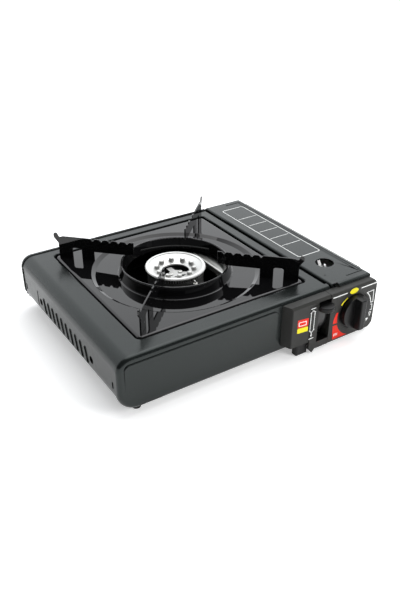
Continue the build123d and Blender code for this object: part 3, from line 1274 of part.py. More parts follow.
def corners_at(sketch, places):
    """The sketch's corners that lie at the given places."""
    return [v for v in sketch.vertices() if any(math.hypot(v.X - x, v.Y - y) < LAP for x, y in places)]


for corner_name, arm_angle in arm_angles.items():
    along = Vector(1, 0, 0).rotate(Axis.Z, arm_angle)
    arm_plane = Plane(origin=(TRAY_X, TRAY_Y, TRAY_FLAT), x_dir=along, z_dir=along.cross(Vector(0, 0, 1)))
    floor_plane = Plane(origin=(TRAY_X, TRAY_Y, TRAY_FLAT), x_dir=along, z_dir=(0, 0, 1))
    with BuildPart() as arm:
        with BuildSketch(arm_plane) as arm_face:
            with BuildLine():
                Polyline(*arm_outline, close=True)
            make_face()
            fillet(corners_at(arm_face, horn_tip), radius=HORN_WIDTH / 2 - LAP)
            fillet(corners_at(arm_face, horn_bends), radius=HORN_BEND)
            fillet(corners_at(arm_face, window_corners), radius=ARM_WINDOW_ROUND)
        extrude(amount=ARM_SHEET / 2, both=True)
        # Tenons that pass through the tray's slots
        with BuildSketch(floor_plane):
            for leg_mid in ARM_LEGS:
                with Locations((leg_mid, 0)):
                    Rectangle(TENON_LENGTH, ARM_SHEET)
        extrude(amount=-TENON_DROP)
    arm.part.label = f"pan_support_{corner_name}"
    export_step(arm.part, f"parts/pan_support_{corner_name}.step")

# Burner head: a dished ring with raised nubs on top and flame ports round its skirt
dish_low = BURNER_RIM_HEIGHT - BURNER_DISH
with BuildPart() as burner_head:
    with BuildSketch(RADIAL_PLANE):
        with BuildLine():
            Polyline(
                (BURNER_R - BURNER_WALL / 2, BURNER_RIM_HEIGHT),
                (BURNER_R, BURNER_RIM_HEIGHT - BURNER_WALL / 2),
                (BURNER_R, BURNER_RIM_HEIGHT - BURNER_WALL),
                (BOWL_R, BOWL_TOP),
                (BOWL_R - BURNER_WALL, BOWL_TOP),
                (BURNER_R - 2 * BURNER_WALL, BURNER_RIM_HEIGHT - 2 * BURNER_WALL),
                (BURNER_HOLE_R + BURNER_WALL, dish_low - BURNER_WALL),
                (BURNER_HOLE_R + BURNER_WALL, BOWL_TOP),
                (BURNER_HOLE_R, BOWL_TOP),
                (BURNER_HOLE_R, dish_low),
                (BURNER_R - BURNER_LIP - LIP_STEP_RUN, BURNER_RIM_HEIGHT - LIP_STEP),
                (BURNER_R - BURNER_LIP, BURNER_RIM_HEIGHT),
                close=True,
            )
        make_face()
    revolve(axis=BURNER_AXIS)
    with BuildSketch(Plane.XY.offset(dish_low - BURNER_WALL / 2)):
        with Locations((TRAY_X, TRAY_Y)):
            with PolarLocations(NUB_CIRCLE_R, NUB_COUNT):
                Circle(NUB_R)
    extrude(amount=BURNER_WALL + BURNER_DISH / 2 + NUB_HEIGHT)
    with BuildSketch(Plane.XY.offset(BURNER_RIM_HEIGHT - PORT_DROP)):
        with Locations((TRAY_X, TRAY_Y)):
            with PolarLocations(BURNER_R, PORT_COUNT):
                Rectangle(4 * BURNER_WALL, PORT_WIDTH)
    extrude(amount=-PORT_HEIGHT, mode=Mode.SUBTRACT)
burner_head.part.label = "burner_head"
export_step(burner_head.part, "parts/burner_head.step")

# Burner bowl under the head, with the mixing tube's port in its side
with BuildPart() as burner_bowl:
    with BuildSketch(RADIAL_PLANE):
        with BuildLine():
            Polyline(
                (0, BOWL_FLOOR),
                (BOWL_R - BOWL_CHAMFER, BOWL_FLOOR),
                (BOWL_R, BOWL_FLOOR + BOWL_CHAMFER),
                (BOWL_R, BOWL_TOP),
                (BOWL_R - BOWL_WALL, BOWL_TOP),
                (BOWL_R - BOWL_WALL, BOWL_FLOOR + BOWL_CHAMFER),
                (BOWL_R - BOWL_CHAMFER - BOWL_WALL / 2, BOWL_FLOOR + BOWL_WALL),
                (0, BOWL_FLOOR + BOWL_WALL),
                close=True,
            )
        make_face()
    revolve(axis=BURNER_AXIS)
    with BuildSketch(gas_plane(GAS_RUN - BOWL_R - OVERRUN)):
        Circle(TUBE_R + LAP)
    extrude(amount=2 * BOWL_WALL + 2 * OVERRUN, mode=Mode.SUBTRACT)
burner_bowl.part.label = "burner_bowl"
export_step(burner_bowl.part, "parts/burner_bowl.step")

# Centre bracket in the burner's hole: three arms on a hub, held by two screws
spider_top = dish_low - SPIDER_DROP + SPIDER_SHEET
with BuildPart() as burner_spider:
    with BuildSketch(Plane.XY.offset(spider_top)):
        with Locations((TRAY_X, TRAY_Y)):
            Circle(SPIDER_HUB_R)
            with PolarLocations((BURNER_HOLE_R - LAP) / 2, SPIDER_ARM_COUNT, start_angle=90):
                Rectangle(BURNER_HOLE_R - LAP, SPIDER_WIDTH)
            Circle(BURNER_HOLE_R - LAP, mode=Mode.INTERSECT)
            with GridLocations(SCREW_SPACING, 0, 2, 1):
                Circle(SCREW_HEAD_R)
                Circle(SCREW_R + LAP, mode=Mode.SUBTRACT)
    extrude(amount=-SPIDER_SHEET)
burner_spider.part.label = "burner_spider"
export_step(burner_spider.part, "parts/burner_spider.step")

with BuildPart() as spider_screws:
    with BuildSketch(Plane.XY.offset(spider_top)):
        with Locations((TRAY_X, TRAY_Y)):
            with GridLocations(SCREW_SPACING, 0, 2, 1):
                Circle(SCREW_HEAD_R)
    extrude(amount=SCREW_HEAD, taper=SCREW_TAPER_ANGLE)
    with BuildSketch(Plane.XY.offset(spider_top)):
        with Locations((TRAY_X, TRAY_Y)):
            with GridLocations(SCREW_SPACING, 0, 2, 1):
                Circle(SCREW_R)
    extrude(amount=-(spider_top - BOWL_FLOOR - BOWL_WALL - LAP))
spider_screws.part.label = "spider_screws"
export_step(spider_screws.part, "parts/spider_screws.step")

# Burner bracket: a bridge across the base that carries the bowl
yoke_half = YOKE_SPAN / 2
with BuildPart() as burner_bracket:
    with BuildSketch(Plane(origin=(TRAY_X, TRAY_Y + YOKE_WIDTH / 2, 0), x_dir=(1, 0, 0), z_dir=(0, -1, 0))):
        with BuildLine():
            FilletPolyline(
                (-yoke_half - YOKE_FOOT, BASE_TOP),
                (-yoke_half, BASE_TOP),
                (-yoke_half, BOWL_FLOOR - BRACKET_SHEET),
                (yoke_half, BOWL_FLOOR - BRACKET_SHEET),
                (yoke_half, BASE_TOP),
                (yoke_half + YOKE_FOOT, BASE_TOP),
                radius=YOKE_BEND,
            )
            offset(amount=BRACKET_SHEET, side=Side.LEFT)
        make_face()
    extrude(amount=YOKE_WIDTH)
    with BuildSketch(Plane.XY.offset(BASE_BOTTOM)):
        with Locations(*bracket_screw_places):
            Circle(SCREW_R + LAP)
    extrude(amount=2 * BRACKET_SHEET + OVERRUN, mode=Mode.SUBTRACT)
burner_bracket.part.label = "burner_bracket"
export_step(burner_bracket.part, "parts/burner_bracket.step")

# Ignition electrode beside the burner: ceramic, wire, clip and the lead from the piezo unit
electrode_x = TRAY_X + CERAMIC_R
electrode_y = TRAY_Y - ELECTRODE_OFFSET
ceramic_low = CERAMIC_TOP - CERAMIC_LENGTH
with BuildPart() as electrode_ceramic:
    with BuildSketch(Plane.XY.offset(ceramic_low)):
        with Locations((electrode_x, electrode_y)):
            Circle(CERAMIC_R)
            Circle(ELECTRODE_R + LAP, mode=Mode.SUBTRACT)
    extrude(amount=CERAMIC_LENGTH)
electrode_ceramic.part.label = "electrode_ceramic"
export_step(electrode_ceramic.part, "parts/electrode_ceramic.step")

with BuildPart() as electrode_wire:
    with BuildLine() as wire_path:
        FilletPolyline(
            (electrode_x, electrode_y, ceramic_low - ELECTRODE_TIP),
            (electrode_x, electrode_y, CERAMIC_TOP + ELECTRODE_TIP / 2),
            (electrode_x, electrode_y + ELECTRODE_TIP, CERAMIC_TOP + ELECTRODE_TIP / 2),
            radius=2 * ELECTRODE_R,
        )
    with BuildSketch(Plane.XY.offset(ceramic_low - ELECTRODE_TIP)):
        with Locations((electrode_x, electrode_y)):
            Circle(ELECTRODE_R)
    sweep(path=wire_path.wires()[0])
electrode_wire.part.label = "electrode_wire"
export_step(electrode_wire.part, "parts/electrode_wire.step")

with BuildPart() as electrode_clip:
    with BuildSketch(Plane.XY.offset(ceramic_low + ELECTRODE_TIP)):
        with Locations((electrode_x, electrode_y - CLIP_WIDTH / 2)):
            Rectangle(CLIP_WIDTH, ELECTRODE_OFFSET, align=(Align.CENTER, Align.MIN))
        with Locations((electrode_x, electrode_y)):
            Circle(CERAMIC_R + LAP, mode=Mode.SUBTRACT)
        with Locations((TRAY_X, TRAY_Y)):
            Circle(BOWL_R + LAP, mode=Mode.SUBTRACT)
    extrude(amount=BRACKET_SHEET)
electrode_clip.part.label = "electrode_clip"
export_step(electrode_clip.part, "parts/electrode_clip.step")

# Heat plate: carries burner heat to the bay, with a lip turned down beside the burner
with BuildPart() as heat_plate:
    with BuildSketch(face_plane(TRAY_Y - HEAT_LENGTH / 2)):
        with BuildLine():
            FilletPolyline(
                (TRAY_X + HEAT_EDGE_FROM_BURNER, PARTITION_TOP - HEAT_LIP),
                (TRAY_X + HEAT_EDGE_FROM_BURNER, PARTITION_TOP + HEAT_SHEET),
                (BAY_LEFT - SHEET, PARTITION_TOP + HEAT_SHEET),
                radius=HEAT_BEND,
            )
            offset(amount=HEAT_SHEET, side=Side.RIGHT)
        make_face()
    extrude(amount=-HEAT_LENGTH)
heat_plate.part.label = "heat_plate"
export_step(heat_plate.part, "parts/heat_plate.step")

# Ignition lead from the piezo unit, through the bay's wall and along the base to the electrode
with BuildPart() as ignition_lead:
    lead_start = FRONT_Y + REGULATOR_FRONT + REGULATOR_LENGTH + LAP
    with BuildLine() as lead_path:
        FilletPolyline(
            (BAY_X, lead_start, LEAD_Z),
            (BAY_X, FRONT_Y + LEAD_TURN_FROM_FRONT, LEAD_Z),
            (BAY_LEFT, FRONT_Y + LEAD_HOLE_FROM_FRONT, LEAD_Z),
            (BAY_LEFT - PARTITION_FOLD, FRONT_Y + LEAD_HOLE_FROM_FRONT, LEAD_Z),
            (electrode_x + LEAD_BEND, electrode_y, LEAD_Z),
            (electrode_x, electrode_y, LEAD_Z),
            (electrode_x, electrode_y, ceramic_low - ELECTRODE_TIP - LAP),
            radius=[LEAD_BEND, LEAD_BEND / 3, LEAD_BEND / 3, LEAD_BEND / 3, LEAD_BEND / 3],
        )
    with BuildSketch(face_plane(lead_start)):
        with Locations((BAY_X, LEAD_Z)):
            Circle(LEAD_R)
    sweep(path=lead_path.wires()[0])
ignition_lead.part.label = "ignition_lead"
export_step(ignition_lead.part, "parts/ignition_lead.step")

# Screws put in from below: two through the case's lower fold and two into the burner bracket
with BuildPart() as base_screws:
    for places, head_z in ((case_screw_places, CASE_BOTTOM), (bracket_screw_places, BASE_BOTTOM)):
        with BuildSketch(Plane.XY.offset(head_z)):
            with Locations(*places):
                Circle(SCREW_HEAD_R)
        extrude(amount=-SCREW_HEAD, taper=SCREW_TAPER_ANGLE)
        with BuildSketch(Plane.XY.offset(head_z)):
            with Locations(*places):
                Circle(SCREW_R)
        extrude(amount=BASE_TOP + 2 * BRACKET_SHEET - head_z)
base_screws.part.label = "base_screws"
export_step(base_screws.part, "parts/base_screws.step")
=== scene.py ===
"""Looks of a single burner gas stove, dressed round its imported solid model."""

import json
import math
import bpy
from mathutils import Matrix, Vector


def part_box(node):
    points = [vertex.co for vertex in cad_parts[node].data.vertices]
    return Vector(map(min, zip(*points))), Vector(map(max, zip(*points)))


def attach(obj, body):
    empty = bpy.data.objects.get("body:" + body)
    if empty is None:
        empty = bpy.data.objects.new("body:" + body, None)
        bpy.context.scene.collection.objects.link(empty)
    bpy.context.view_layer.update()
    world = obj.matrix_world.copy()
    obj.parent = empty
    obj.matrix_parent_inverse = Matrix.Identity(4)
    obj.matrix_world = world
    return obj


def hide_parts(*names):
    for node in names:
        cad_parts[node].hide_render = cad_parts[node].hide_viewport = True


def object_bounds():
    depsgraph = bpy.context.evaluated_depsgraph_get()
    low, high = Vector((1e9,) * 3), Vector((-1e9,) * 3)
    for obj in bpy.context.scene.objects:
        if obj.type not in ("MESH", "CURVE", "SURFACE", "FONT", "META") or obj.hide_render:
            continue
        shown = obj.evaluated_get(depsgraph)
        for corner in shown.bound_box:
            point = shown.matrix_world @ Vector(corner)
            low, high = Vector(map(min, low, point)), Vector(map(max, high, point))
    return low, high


bl_info = {
    "name": "Single Burner Gas Stove",
    "version": (1, 0, 0),
    "blender": (4, 5, 0),
    "location": "View3D > Sidebar > Stove",
    "description": "Dresses the stove's solids with rounded edges, finishes, printed marks and a studio",
    "category": "Object",
}

import bmesh
import bpy
from mathutils import Matrix, Vector

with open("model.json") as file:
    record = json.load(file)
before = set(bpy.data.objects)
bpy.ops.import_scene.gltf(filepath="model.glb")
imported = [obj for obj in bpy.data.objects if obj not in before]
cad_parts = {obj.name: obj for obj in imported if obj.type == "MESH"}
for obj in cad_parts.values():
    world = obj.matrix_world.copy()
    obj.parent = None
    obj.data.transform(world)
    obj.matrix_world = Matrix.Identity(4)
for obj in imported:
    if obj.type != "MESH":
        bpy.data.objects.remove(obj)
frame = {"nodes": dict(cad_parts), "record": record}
cad_low, cad_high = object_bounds()

MM = 0.001
NODE_SLOT = {row["node"]: row["material_slot"] for row in frame["record"]["subparts"]}
NODE_BODY = {n: body for body, group in frame["record"]["behaviour"]["bodies"].items() for n in group}

# Places read from the solids
burner_low, burner_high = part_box("burner_head")
BURNER_X = (burner_low.x + burner_high.x) / 2
BURNER_Y = (burner_low.y + burner_high.y) / 2
case_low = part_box("main_case")[0]
panel_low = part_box("front_panel")[0]
control_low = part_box("control_panel")[0]
knob_low, knob_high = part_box("knob")
KNOB_X = (knob_low.x + knob_high.x) / 2
KNOB_Z = (knob_low.z + knob_high.z) / 2
lid_low, lid_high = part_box("lid")
LEFT_X = panel_low.x
PAN_FROM_FRONT = 1.15 * MM
FRONT_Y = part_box("bay_pan")[0].y - PAN_FROM_FRONT


# Sizes and colours that a user would change

class StoveFinishSettings(bpy.types.PropertyGroup):
    """Colours of the stove's finishes"""

    paint: bpy.props.FloatVectorProperty(
        name="Body paint", description="Satin paint on the sheet-metal body and lid",
        subtype="COLOR", size=3, min=0.0, max=1.0, default=(0.0068, 0.0084, 0.0081))
    enamel: bpy.props.FloatVectorProperty(
        name="Enamel", description="Vitreous enamel on the drip tray and pan supports",
        subtype="COLOR", size=3, min=0.0, max=1.0, default=(0.0035, 0.0035, 0.0038))
    plastic: bpy.props.FloatVectorProperty(
        name="Moulded plastic", description="Lever housing, control panel and lock lever",
        subtype="COLOR", size=3, min=0.0, max=1.0, default=(0.027, 0.027, 0.0252))
    knob: bpy.props.FloatVectorProperty(
        name="Knob", description="Black plastic of the control knob",
        subtype="COLOR", size=3, min=0.0, max=1.0, default=(0.0045, 0.0045, 0.0045))
    burner: bpy.props.FloatVectorProperty(
        name="Burner alloy", description="Cast and turned alloy of the burner head",
        subtype="COLOR", size=3, min=0.0, max=1.0, default=(0.68, 0.68, 0.665))
    plated: bpy.props.FloatVectorProperty(
        name="Plated steel", description="Zinc-plated brackets, pan and lock parts",
        subtype="COLOR", size=3, min=0.0, max=1.0, default=(0.62, 0.62, 0.6))
    print_white: bpy.props.FloatVectorProperty(
        name="White print", description="White printed marks",
        subtype="COLOR", size=3, min=0.0, max=1.0, default=(0.82, 0.83, 0.82))
    print_red: bpy.props.FloatVectorProperty(
        name="Red print", description="Red printed sectors",
        subtype="COLOR", size=3, min=0.0, max=1.0, default=(0.74, 0.024, 0.01))
    print_yellow: bpy.props.FloatVectorProperty(
        name="Yellow print", description="Yellow printed sectors",
        subtype="COLOR", size=3, min=0.0, max=1.0, default=(0.85, 0.75, 0.02))


class StoveEdgeSettings(bpy.types.PropertyGroup):
    """Edge rounds and the sizes of small added details"""

    sheet: bpy.props.FloatProperty(
        name="Sheet edge", description="Rounding of cut and folded sheet edges",
        default=0.28 * MM, min=0.0, unit="LENGTH", precision=5)
    enamel: bpy.props.FloatProperty(
        name="Enamel edge", description="Rounding of enamelled edges",
        default=0.4 * MM, min=0.0, unit="LENGTH", precision=5)
    moulded: bpy.props.FloatProperty(
        name="Moulded edge", description="Rounding of moulded plastic edges",
        default=0.5 * MM, min=0.0, unit="LENGTH", precision=5)
    small: bpy.props.FloatProperty(
        name="Small part edge", description="Rounding of small turned and cast parts",
        default=0.2 * MM, min=0.0, unit="LENGTH", precision=5)
    sharp_angle: bpy.props.FloatProperty(
        name="Sharp angle", description="Edges that turn more than this are rounded",
        default=math.radians(32.0), min=0.0, subtype="ANGLE")
    vent_count: bpy.props.IntProperty(
        name="Vents", description="Slanted vents in the left side", default=10, min=1)
    vent_lip: bpy.props.FloatProperty(
        name="Vent lip", description="Radius of the rolled lip round each vent",
        default=0.42 * MM, min=0.0, unit="LENGTH", precision=5)
    print_proud: bpy.props.FloatProperty(
        name="Print thickness", description="How far a printed mark stands off its face",
        default=0.06 * MM, min=0.0, unit="LENGTH", precision=6)
    print_line: bpy.props.FloatProperty(
        name="Print line", description="Width of the thin printed lines",
        default=1.0 * MM, min=0.0, unit="LENGTH", precision=5)


class StoveStageSettings(bpy.types.PropertyGroup):
    """Studio round the stove"""

    floor_size: bpy.props.FloatProperty(
        name="Floor", description="Length of the floor's side", default=24.0, min=1.0, unit="LENGTH")
    floor_colour: bpy.props.FloatVectorProperty(
        name="Floor colour", description="Pale studio floor",
        subtype="COLOR", size=3, min=0.0, max=1.0, default=(0.94, 0.94, 0.94))
    backdrop_level: bpy.props.FloatProperty(
        name="Backdrop level", description="Light of the backdrop behind the stove", default=1.64, min=0.0)
    room_level: bpy.props.FloatProperty(
        name="Room level", description="Light of the room on the near side", default=0.1, min=0.0)
    overhead_level: bpy.props.FloatProperty(
        name="Overhead lamp", description="Power of the soft lamp overhead",
        default=30.0, min=0.0, unit="POWER")
    fill_level: bpy.props.FloatProperty(
        name="Fill lamp", description="Power of the soft lamp at the front right",
        default=37.0, min=0.0, unit="POWER")
    floor_glow: bpy.props.FloatProperty(
        name="Floor glow", description="White that the floor shows beside its own shading",
        default=0.36, min=0.0)


# Building blocks

JOIN_DISTANCE = 2e-6
FLAT_ANGLE = math.radians(0.3)
CRISP_ANGLE = math.radians(40.0)
FLAT_WEIGHT = 80


def finished_name(node):
    """Name of the piece that stands for a solid."""
    return node + "_finished"


def link(obj):
    """Put an object in the scene."""
    bpy.context.scene.collection.objects.link(obj)
    return obj


def plain_mesh(obj, name):
    """The object's evaluated mesh as a plain mesh, with its modifiers left behind."""
    bpy.context.view_layer.update()
    depsgraph = bpy.context.evaluated_depsgraph_get()
    mesh = bpy.data.meshes.new_from_object(
        obj.evaluated_get(depsgraph), preserve_all_data_layers=True, depsgraph=depsgraph)
    mesh.name = name
    return mesh


def mesh_of(bm, name):
    """A mesh from a built shape, which is then let go."""
    mesh = bpy.data.meshes.new(name)
    bm.to_mesh(mesh)
    bm.free()
    return mesh


def discard(obj):
    """Remove an object together with its mesh."""
    mesh = obj.data
    bpy.data.objects.remove(obj)
    bpy.data.meshes.remove(mesh)


def smooth_shaded(mesh, angle=CRISP_ANGLE):
    """Shade smoothly and keep edges sharper than the angle crisp."""
    mesh.shade_smooth()
    mesh.set_sharp_from_angle(angle=angle)


def joined_mesh(node):
    """The solid's loose triangles joined into one closed mesh with whole flat faces."""
    bm = bmesh.new()
    bm.from_mesh(frame["nodes"][node].data)
    bmesh.ops.remove_doubles(bm, verts=bm.verts, dist=JOIN_DISTANCE)
    bmesh.ops.dissolve_degenerate(bm, dist=JOIN_DISTANCE, edges=bm.edges)
    bmesh.ops.dissolve_limit(bm, angle_limit=FLAT_ANGLE, verts=bm.verts, edges=bm.edges)
    mesh = mesh_of(bm, finished_name(node))
    stale = mesh.attributes.get("custom_normal")
    if stale:
        mesh.attributes.remove(stale)
    return mesh


def stand_for(obj, node):
    """Let a finished piece replace a solid and move with its body."""
    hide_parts(node)
    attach(obj, NODE_BODY[node])


def dress(node, edge, finish, segments=2):
    """Copy a solid, round its edges by the given width, and give it a finish."""
    edges = bpy.context.scene.stove_edges
    mesh = joined_mesh(node)
    obj = link(bpy.data.objects.new(finished_name(node), mesh))
    if edge > 0:
        bevel = obj.modifiers.new("Edge round", "BEVEL")
        bevel.width = edge
        bevel.segments = segments
        bevel.limit_method = "ANGLE"
        bevel.angle_limit = edges.sharp_angle
        bevel.use_clamp_overlap = True
        bevel.miter_outer = "MITER_ARC"
    rounded = plain_mesh(obj, finished_name(node))
    obj.modifiers.clear()
    obj.data = rounded
    bpy.data.meshes.remove(mesh)
    smooth_shaded(rounded)
    weighted = obj.modifiers.new("Flat faces first", "WEIGHTED_NORMAL")
    weighted.keep_sharp = True
    weighted.weight = FLAT_WEIGHT
    final = plain_mesh(obj, finished_name(node))
    obj.modifiers.clear()
    obj.data = final
    bpy.data.meshes.remove(rounded)
    final.name = finished_name(node)
    final.materials.clear()
    final.materials.append(finish)
    if len(final.polygons) == 0:
        raise RuntimeError("no faces left on " + node)
    stand_for(obj, node)
    return obj


# Finishes

class Shade:
    """One material under construction, with short ways to add its nodes."""

    def __init__(self, name):
        self.material = bpy.data.materials.new(name)
        self.material.use_nodes = True
        self.tree = self.material.node_tree
        self.tree.nodes.clear()
        self.out = self.tree.nodes.new("ShaderNodeOutputMaterial")
        self.skin = self.tree.nodes.new("ShaderNodeBsdfPrincipled")
        self.tree.links.new(self.skin.outputs["BSDF"], self.out.inputs["Surface"])
        self.place = self.tree.nodes.new("ShaderNodeTexCoord").outputs["Object"]

    def mapped(self, location=(0, 0, 0), rotation=(0, 0, 0), scale=(1, 1, 1)):
        """Object coordinates moved, turned and scaled."""
        node = self.tree.nodes.new("ShaderNodeMapping")
        node.vector_type = "POINT"
        node.inputs["Location"].default_value = location
        node.inputs["Rotation"].default_value = rotation
        node.inputs["Scale"].default_value = scale
        self.tree.links.new(self.place, node.inputs["Vector"])
        return node.outputs["Vector"]

    def noise(self, scale, detail=3.0, rough=0.5, vector=None):
        """Noise by the size of its grains, as a grey value."""
        node = self.tree.nodes.new("ShaderNodeTexNoise")
        node.inputs["Scale"].default_value = scale
        node.inputs["Detail"].default_value = detail
        node.inputs["Roughness"].default_value = rough
        self.tree.links.new(vector or self.place, node.inputs["Vector"])
        return node.outputs["Fac"]

    def rings(self, scale, vector):
        """Concentric rings round the upright axis."""
        node = self.tree.nodes.new("ShaderNodeTexWave")
        node.wave_type = "RINGS"
        node.rings_direction = "Z"
        node.wave_profile = "SIN"
        node.inputs["Scale"].default_value = scale
        node.inputs["Distortion"].default_value = 0.0
        node.inputs["Detail"].default_value = 0.0
        self.tree.links.new(vector, node.inputs["Vector"])
        return node.outputs["Fac"]

    def span(self, value, low, high, start=0.25, end=0.75):
        """A grey value spread over a range."""
        node = self.tree.nodes.new("ShaderNodeMapRange")
        node.inputs["From Min"].default_value = start
        node.inputs["From Max"].default_value = end
        node.inputs["To Min"].default_value = low
        node.inputs["To Max"].default_value = high
        self.tree.links.new(value, node.inputs["Value"])
        return node.outputs["Result"]

    def between(self, value, first, second):
        """A colour between two, by a grey value."""
        node = self.tree.nodes.new("ShaderNodeMix")
        node.data_type = "RGBA"
        for socket in node.inputs:
            if socket.identifier == "A_Color":
                socket.default_value = (*first, 1.0)
            if socket.identifier == "B_Color":
                socket.default_value = (*second, 1.0)
        self.tree.links.new(value, node.inputs["Factor"])
        return [s for s in node.outputs if s.identifier == "Result_Color"][0]

    def bump(self, value, depth, strength=1.0, over=None):
        """A bump of the given depth in metres, on top of another one."""
        node = self.tree.nodes.new("ShaderNodeBump")
        node.inputs["Strength"].default_value = strength
        node.inputs["Distance"].default_value = depth
        self.tree.links.new(value, node.inputs["Height"])
        if over:
            self.tree.links.new(over, node.inputs["Normal"])
        return node.outputs["Normal"]

    def wear(self, socket, value):
        """Link a value into one of the shader's sockets."""
        self.tree.links.new(value, self.skin.inputs[socket])

    def fix(self, socket, value):
        """Set a constant on one of the shader's sockets."""
        self.skin.inputs[socket].default_value = value


def shades_of(colour, spread):
    """A darker and a lighter neighbour of a colour."""
    dark = tuple(c * (1 - spread) for c in colour)
    light = tuple(min(1.0, c * (1 + spread)) for c in colour)
    return dark, light


PAINT_SHEEN = (0.9, 0.985, 0.97, 1.0)


def paint_finish(colours):
    """Satin body paint with a fine orange peel and faint mottling."""
    s = Shade("body_paint_satin")
    s.fix("IOR", 1.42)
    s.fix("Specular Tint", PAINT_SHEEN)
    s.wear("Base Color", s.between(s.noise(55.0), *shades_of(colours.paint, 0.25)))
    s.wear("Roughness", s.span(s.noise(140.0, 4.0), 0.2, 0.27))
    s.wear("Normal", s.bump(s.noise(900.0, 2.0), 0.012 * MM))
    return s.material


def enamel_finish(colours):
    """Glassy black enamel with a slow waviness."""
    s = Shade("enamel_black")
    s.fix("IOR", 1.5)
    s.wear("Base Color", s.between(s.noise(40.0), *shades_of(colours.enamel, 0.2)))
    s.wear("Roughness", s.span(s.noise(90.0, 3.0), 0.02, 0.05))
    s.wear("Normal", s.bump(s.noise(70.0, 1.0), 0.01 * MM))
    return s.material


def plastic_finish(colours):
    """Finely grained moulded plastic."""
    s = Shade("moulded_plastic")
    s.fix("IOR", 1.5)
    s.fix("Specular IOR Level", 0.2)
    s.wear("Base Color", s.between(s.noise(80.0), *shades_of(colours.plastic, 0.12)))
    s.wear("Roughness", s.span(s.noise(300.0, 4.0), 0.36, 0.46))
    s.wear("Normal", s.bump(s.noise(2600.0, 2.0), 0.015 * MM))
    return s.material


def knob_finish(colours):
    """Smooth black plastic of the knob."""
    s = Shade("knob_black")
    s.fix("IOR", 1.48)
    s.fix("Specular IOR Level", 0.25)
    s.wear("Base Color", s.between(s.noise(90.0), *shades_of(colours.knob, 0.15)))
    s.wear("Roughness", s.span(s.noise(260.0, 4.0), 0.3, 0.38))
    s.wear("Normal", s.bump(s.noise(2200.0, 2.0), 0.01 * MM))
    return s.material


def burner_finish(colours):
    """Bright alloy with turning rings round the burner's axis."""
    s = Shade("burner_alloy")
    s.fix("Metallic", 0.75)
    centred = s.mapped(location=(-BURNER_X, -BURNER_Y, 0.0))
    s.wear("Base Color", s.between(s.noise(160.0, 5.0), *shades_of(colours.burner, 0.06)))
    s.wear("Roughness", s.span(s.noise(420.0, 4.0), 0.36, 0.52))
    turned = s.bump(s.rings(260.0, centred), 0.02 * MM, 0.5)
    s.wear("Normal", s.bump(s.noise(1500.0, 3.0), 0.02 * MM, 1.0, turned))
    return s.material


def plated_finish(colours):
    """Zinc-plated steel with faint rolling streaks."""
    s = Shade("plated_steel")
    s.fix("Metallic", 1.0)
    streaks = s.mapped(scale=(1.0, 0.06, 1.0))
    s.wear("Base Color", s.between(s.noise(120.0, 4.0), *shades_of(colours.plated, 0.1)))
    s.wear("Roughness", s.span(s.noise(700.0, 4.0, 0.6, streaks), 0.26, 0.42))
    s.wear("Normal", s.bump(s.noise(1400.0, 2.0, 0.5, streaks), 0.008 * MM))
    return s.material


def grained_finish(name, colour, rough, grain, depth, metallic, spread):
    """A plain finish with grain, for the small and hidden parts."""
    s = Shade(name)
    s.fix("Metallic", metallic)
    s.wear("Base Color", s.between(s.noise(grain / 6.0, 4.0), *shades_of(colour, spread)))
    s.wear("Roughness", s.span(s.noise(grain / 3.0, 4.0), rough * 0.85, min(1.0, rough * 1.15)))
    s.wear("Normal", s.bump(s.noise(grain, 2.0), depth))
    return s.material


def print_finish(name, colour):
    """Screen-printed ink with a faint speckle."""
    s = Shade(name)
    s.fix("IOR", 1.45)
    s.fix("Specular IOR Level", 0.25)
    s.wear("Base Color", s.between(s.noise(1800.0, 3.0), *shades_of(colour, 0.05)))
    s.wear("Roughness", s.span(s.noise(900.0), 0.42, 0.52))
    return s.material


FINISH = {}

# Name, colour, roughness, fineness of grain, its depth in millimetres, metal share and spread of shades
PLAIN_FINISHES = {
    # Drum: plastic lighter than the lever's black, painted light so the drum face reads lit
    "drum_plastic_painted_light": ("drum_plastic_painted_light", (0.02, 0.02, 0.0195), 0.4, 1500.0, 0.01, 0.0, 0.12),
    # Skirt: darker alloy for the burner's side under its lip, painted shade
    "skirt_alloy_painted_shade": ("skirt_alloy_painted_shade", (0.085, 0.085, 0.083), 0.5, 900.0, 0.03, 0.3, 0.12),
    # Ridge: light paint for the painted highlights along the lid's edge
    "ridge_painted_highlight": ("ridge_painted_highlight", (0.34, 0.35, 0.345), 0.3, 900.0, 0.01, 0.0, 0.12),
    "stud_cast": ("stud_cast_grey", (0.32, 0.32, 0.31), 0.5, 1500.0, 0.08, 0.5, 0.45),
    "bowl_steel": ("bowl_steel_dark", (0.1, 0.1, 0.098), 0.5, 800.0, 0.03, 0.6, 0.12),
    # Prong: near-white in place of lit plated metal, a painted highlight
    "prong_painted_highlight": ("prong_painted_highlight", (0.94, 0.94, 0.93), 0.4, 700.0, 0.01, 0.0, 0.03),
    "lock_zinc": ("lock_zinc_bright", (0.86, 0.86, 0.84), 0.5, 700.0, 0.01, 0.25, 0.05),
    "spider_zinc": ("spider_zinc", (0.5, 0.5, 0.49), 0.45, 700.0, 0.01, 0.5, 0.08),
    "cast_alloy": ("cast_alloy", (0.5, 0.5, 0.49), 0.48, 900.0, 0.05, 1.0, 0.12),
    "jet_brass": ("jet_brass", (0.7, 0.5, 0.2), 0.3, 700.0, 0.01, 1.0, 0.12),
    "rubber": ("foot_rubber", (0.012, 0.012, 0.012), 0.7, 1500.0, 0.04, 0.0, 0.12),
    "ceramic": ("electrode_glaze", (0.8, 0.79, 0.75), 0.2, 500.0, 0.01, 0.0, 0.04),
    "lead_cover": ("lead_cover", (0.4, 0.03, 0.02), 0.5, 1200.0, 0.02, 0.0, 0.12),
}


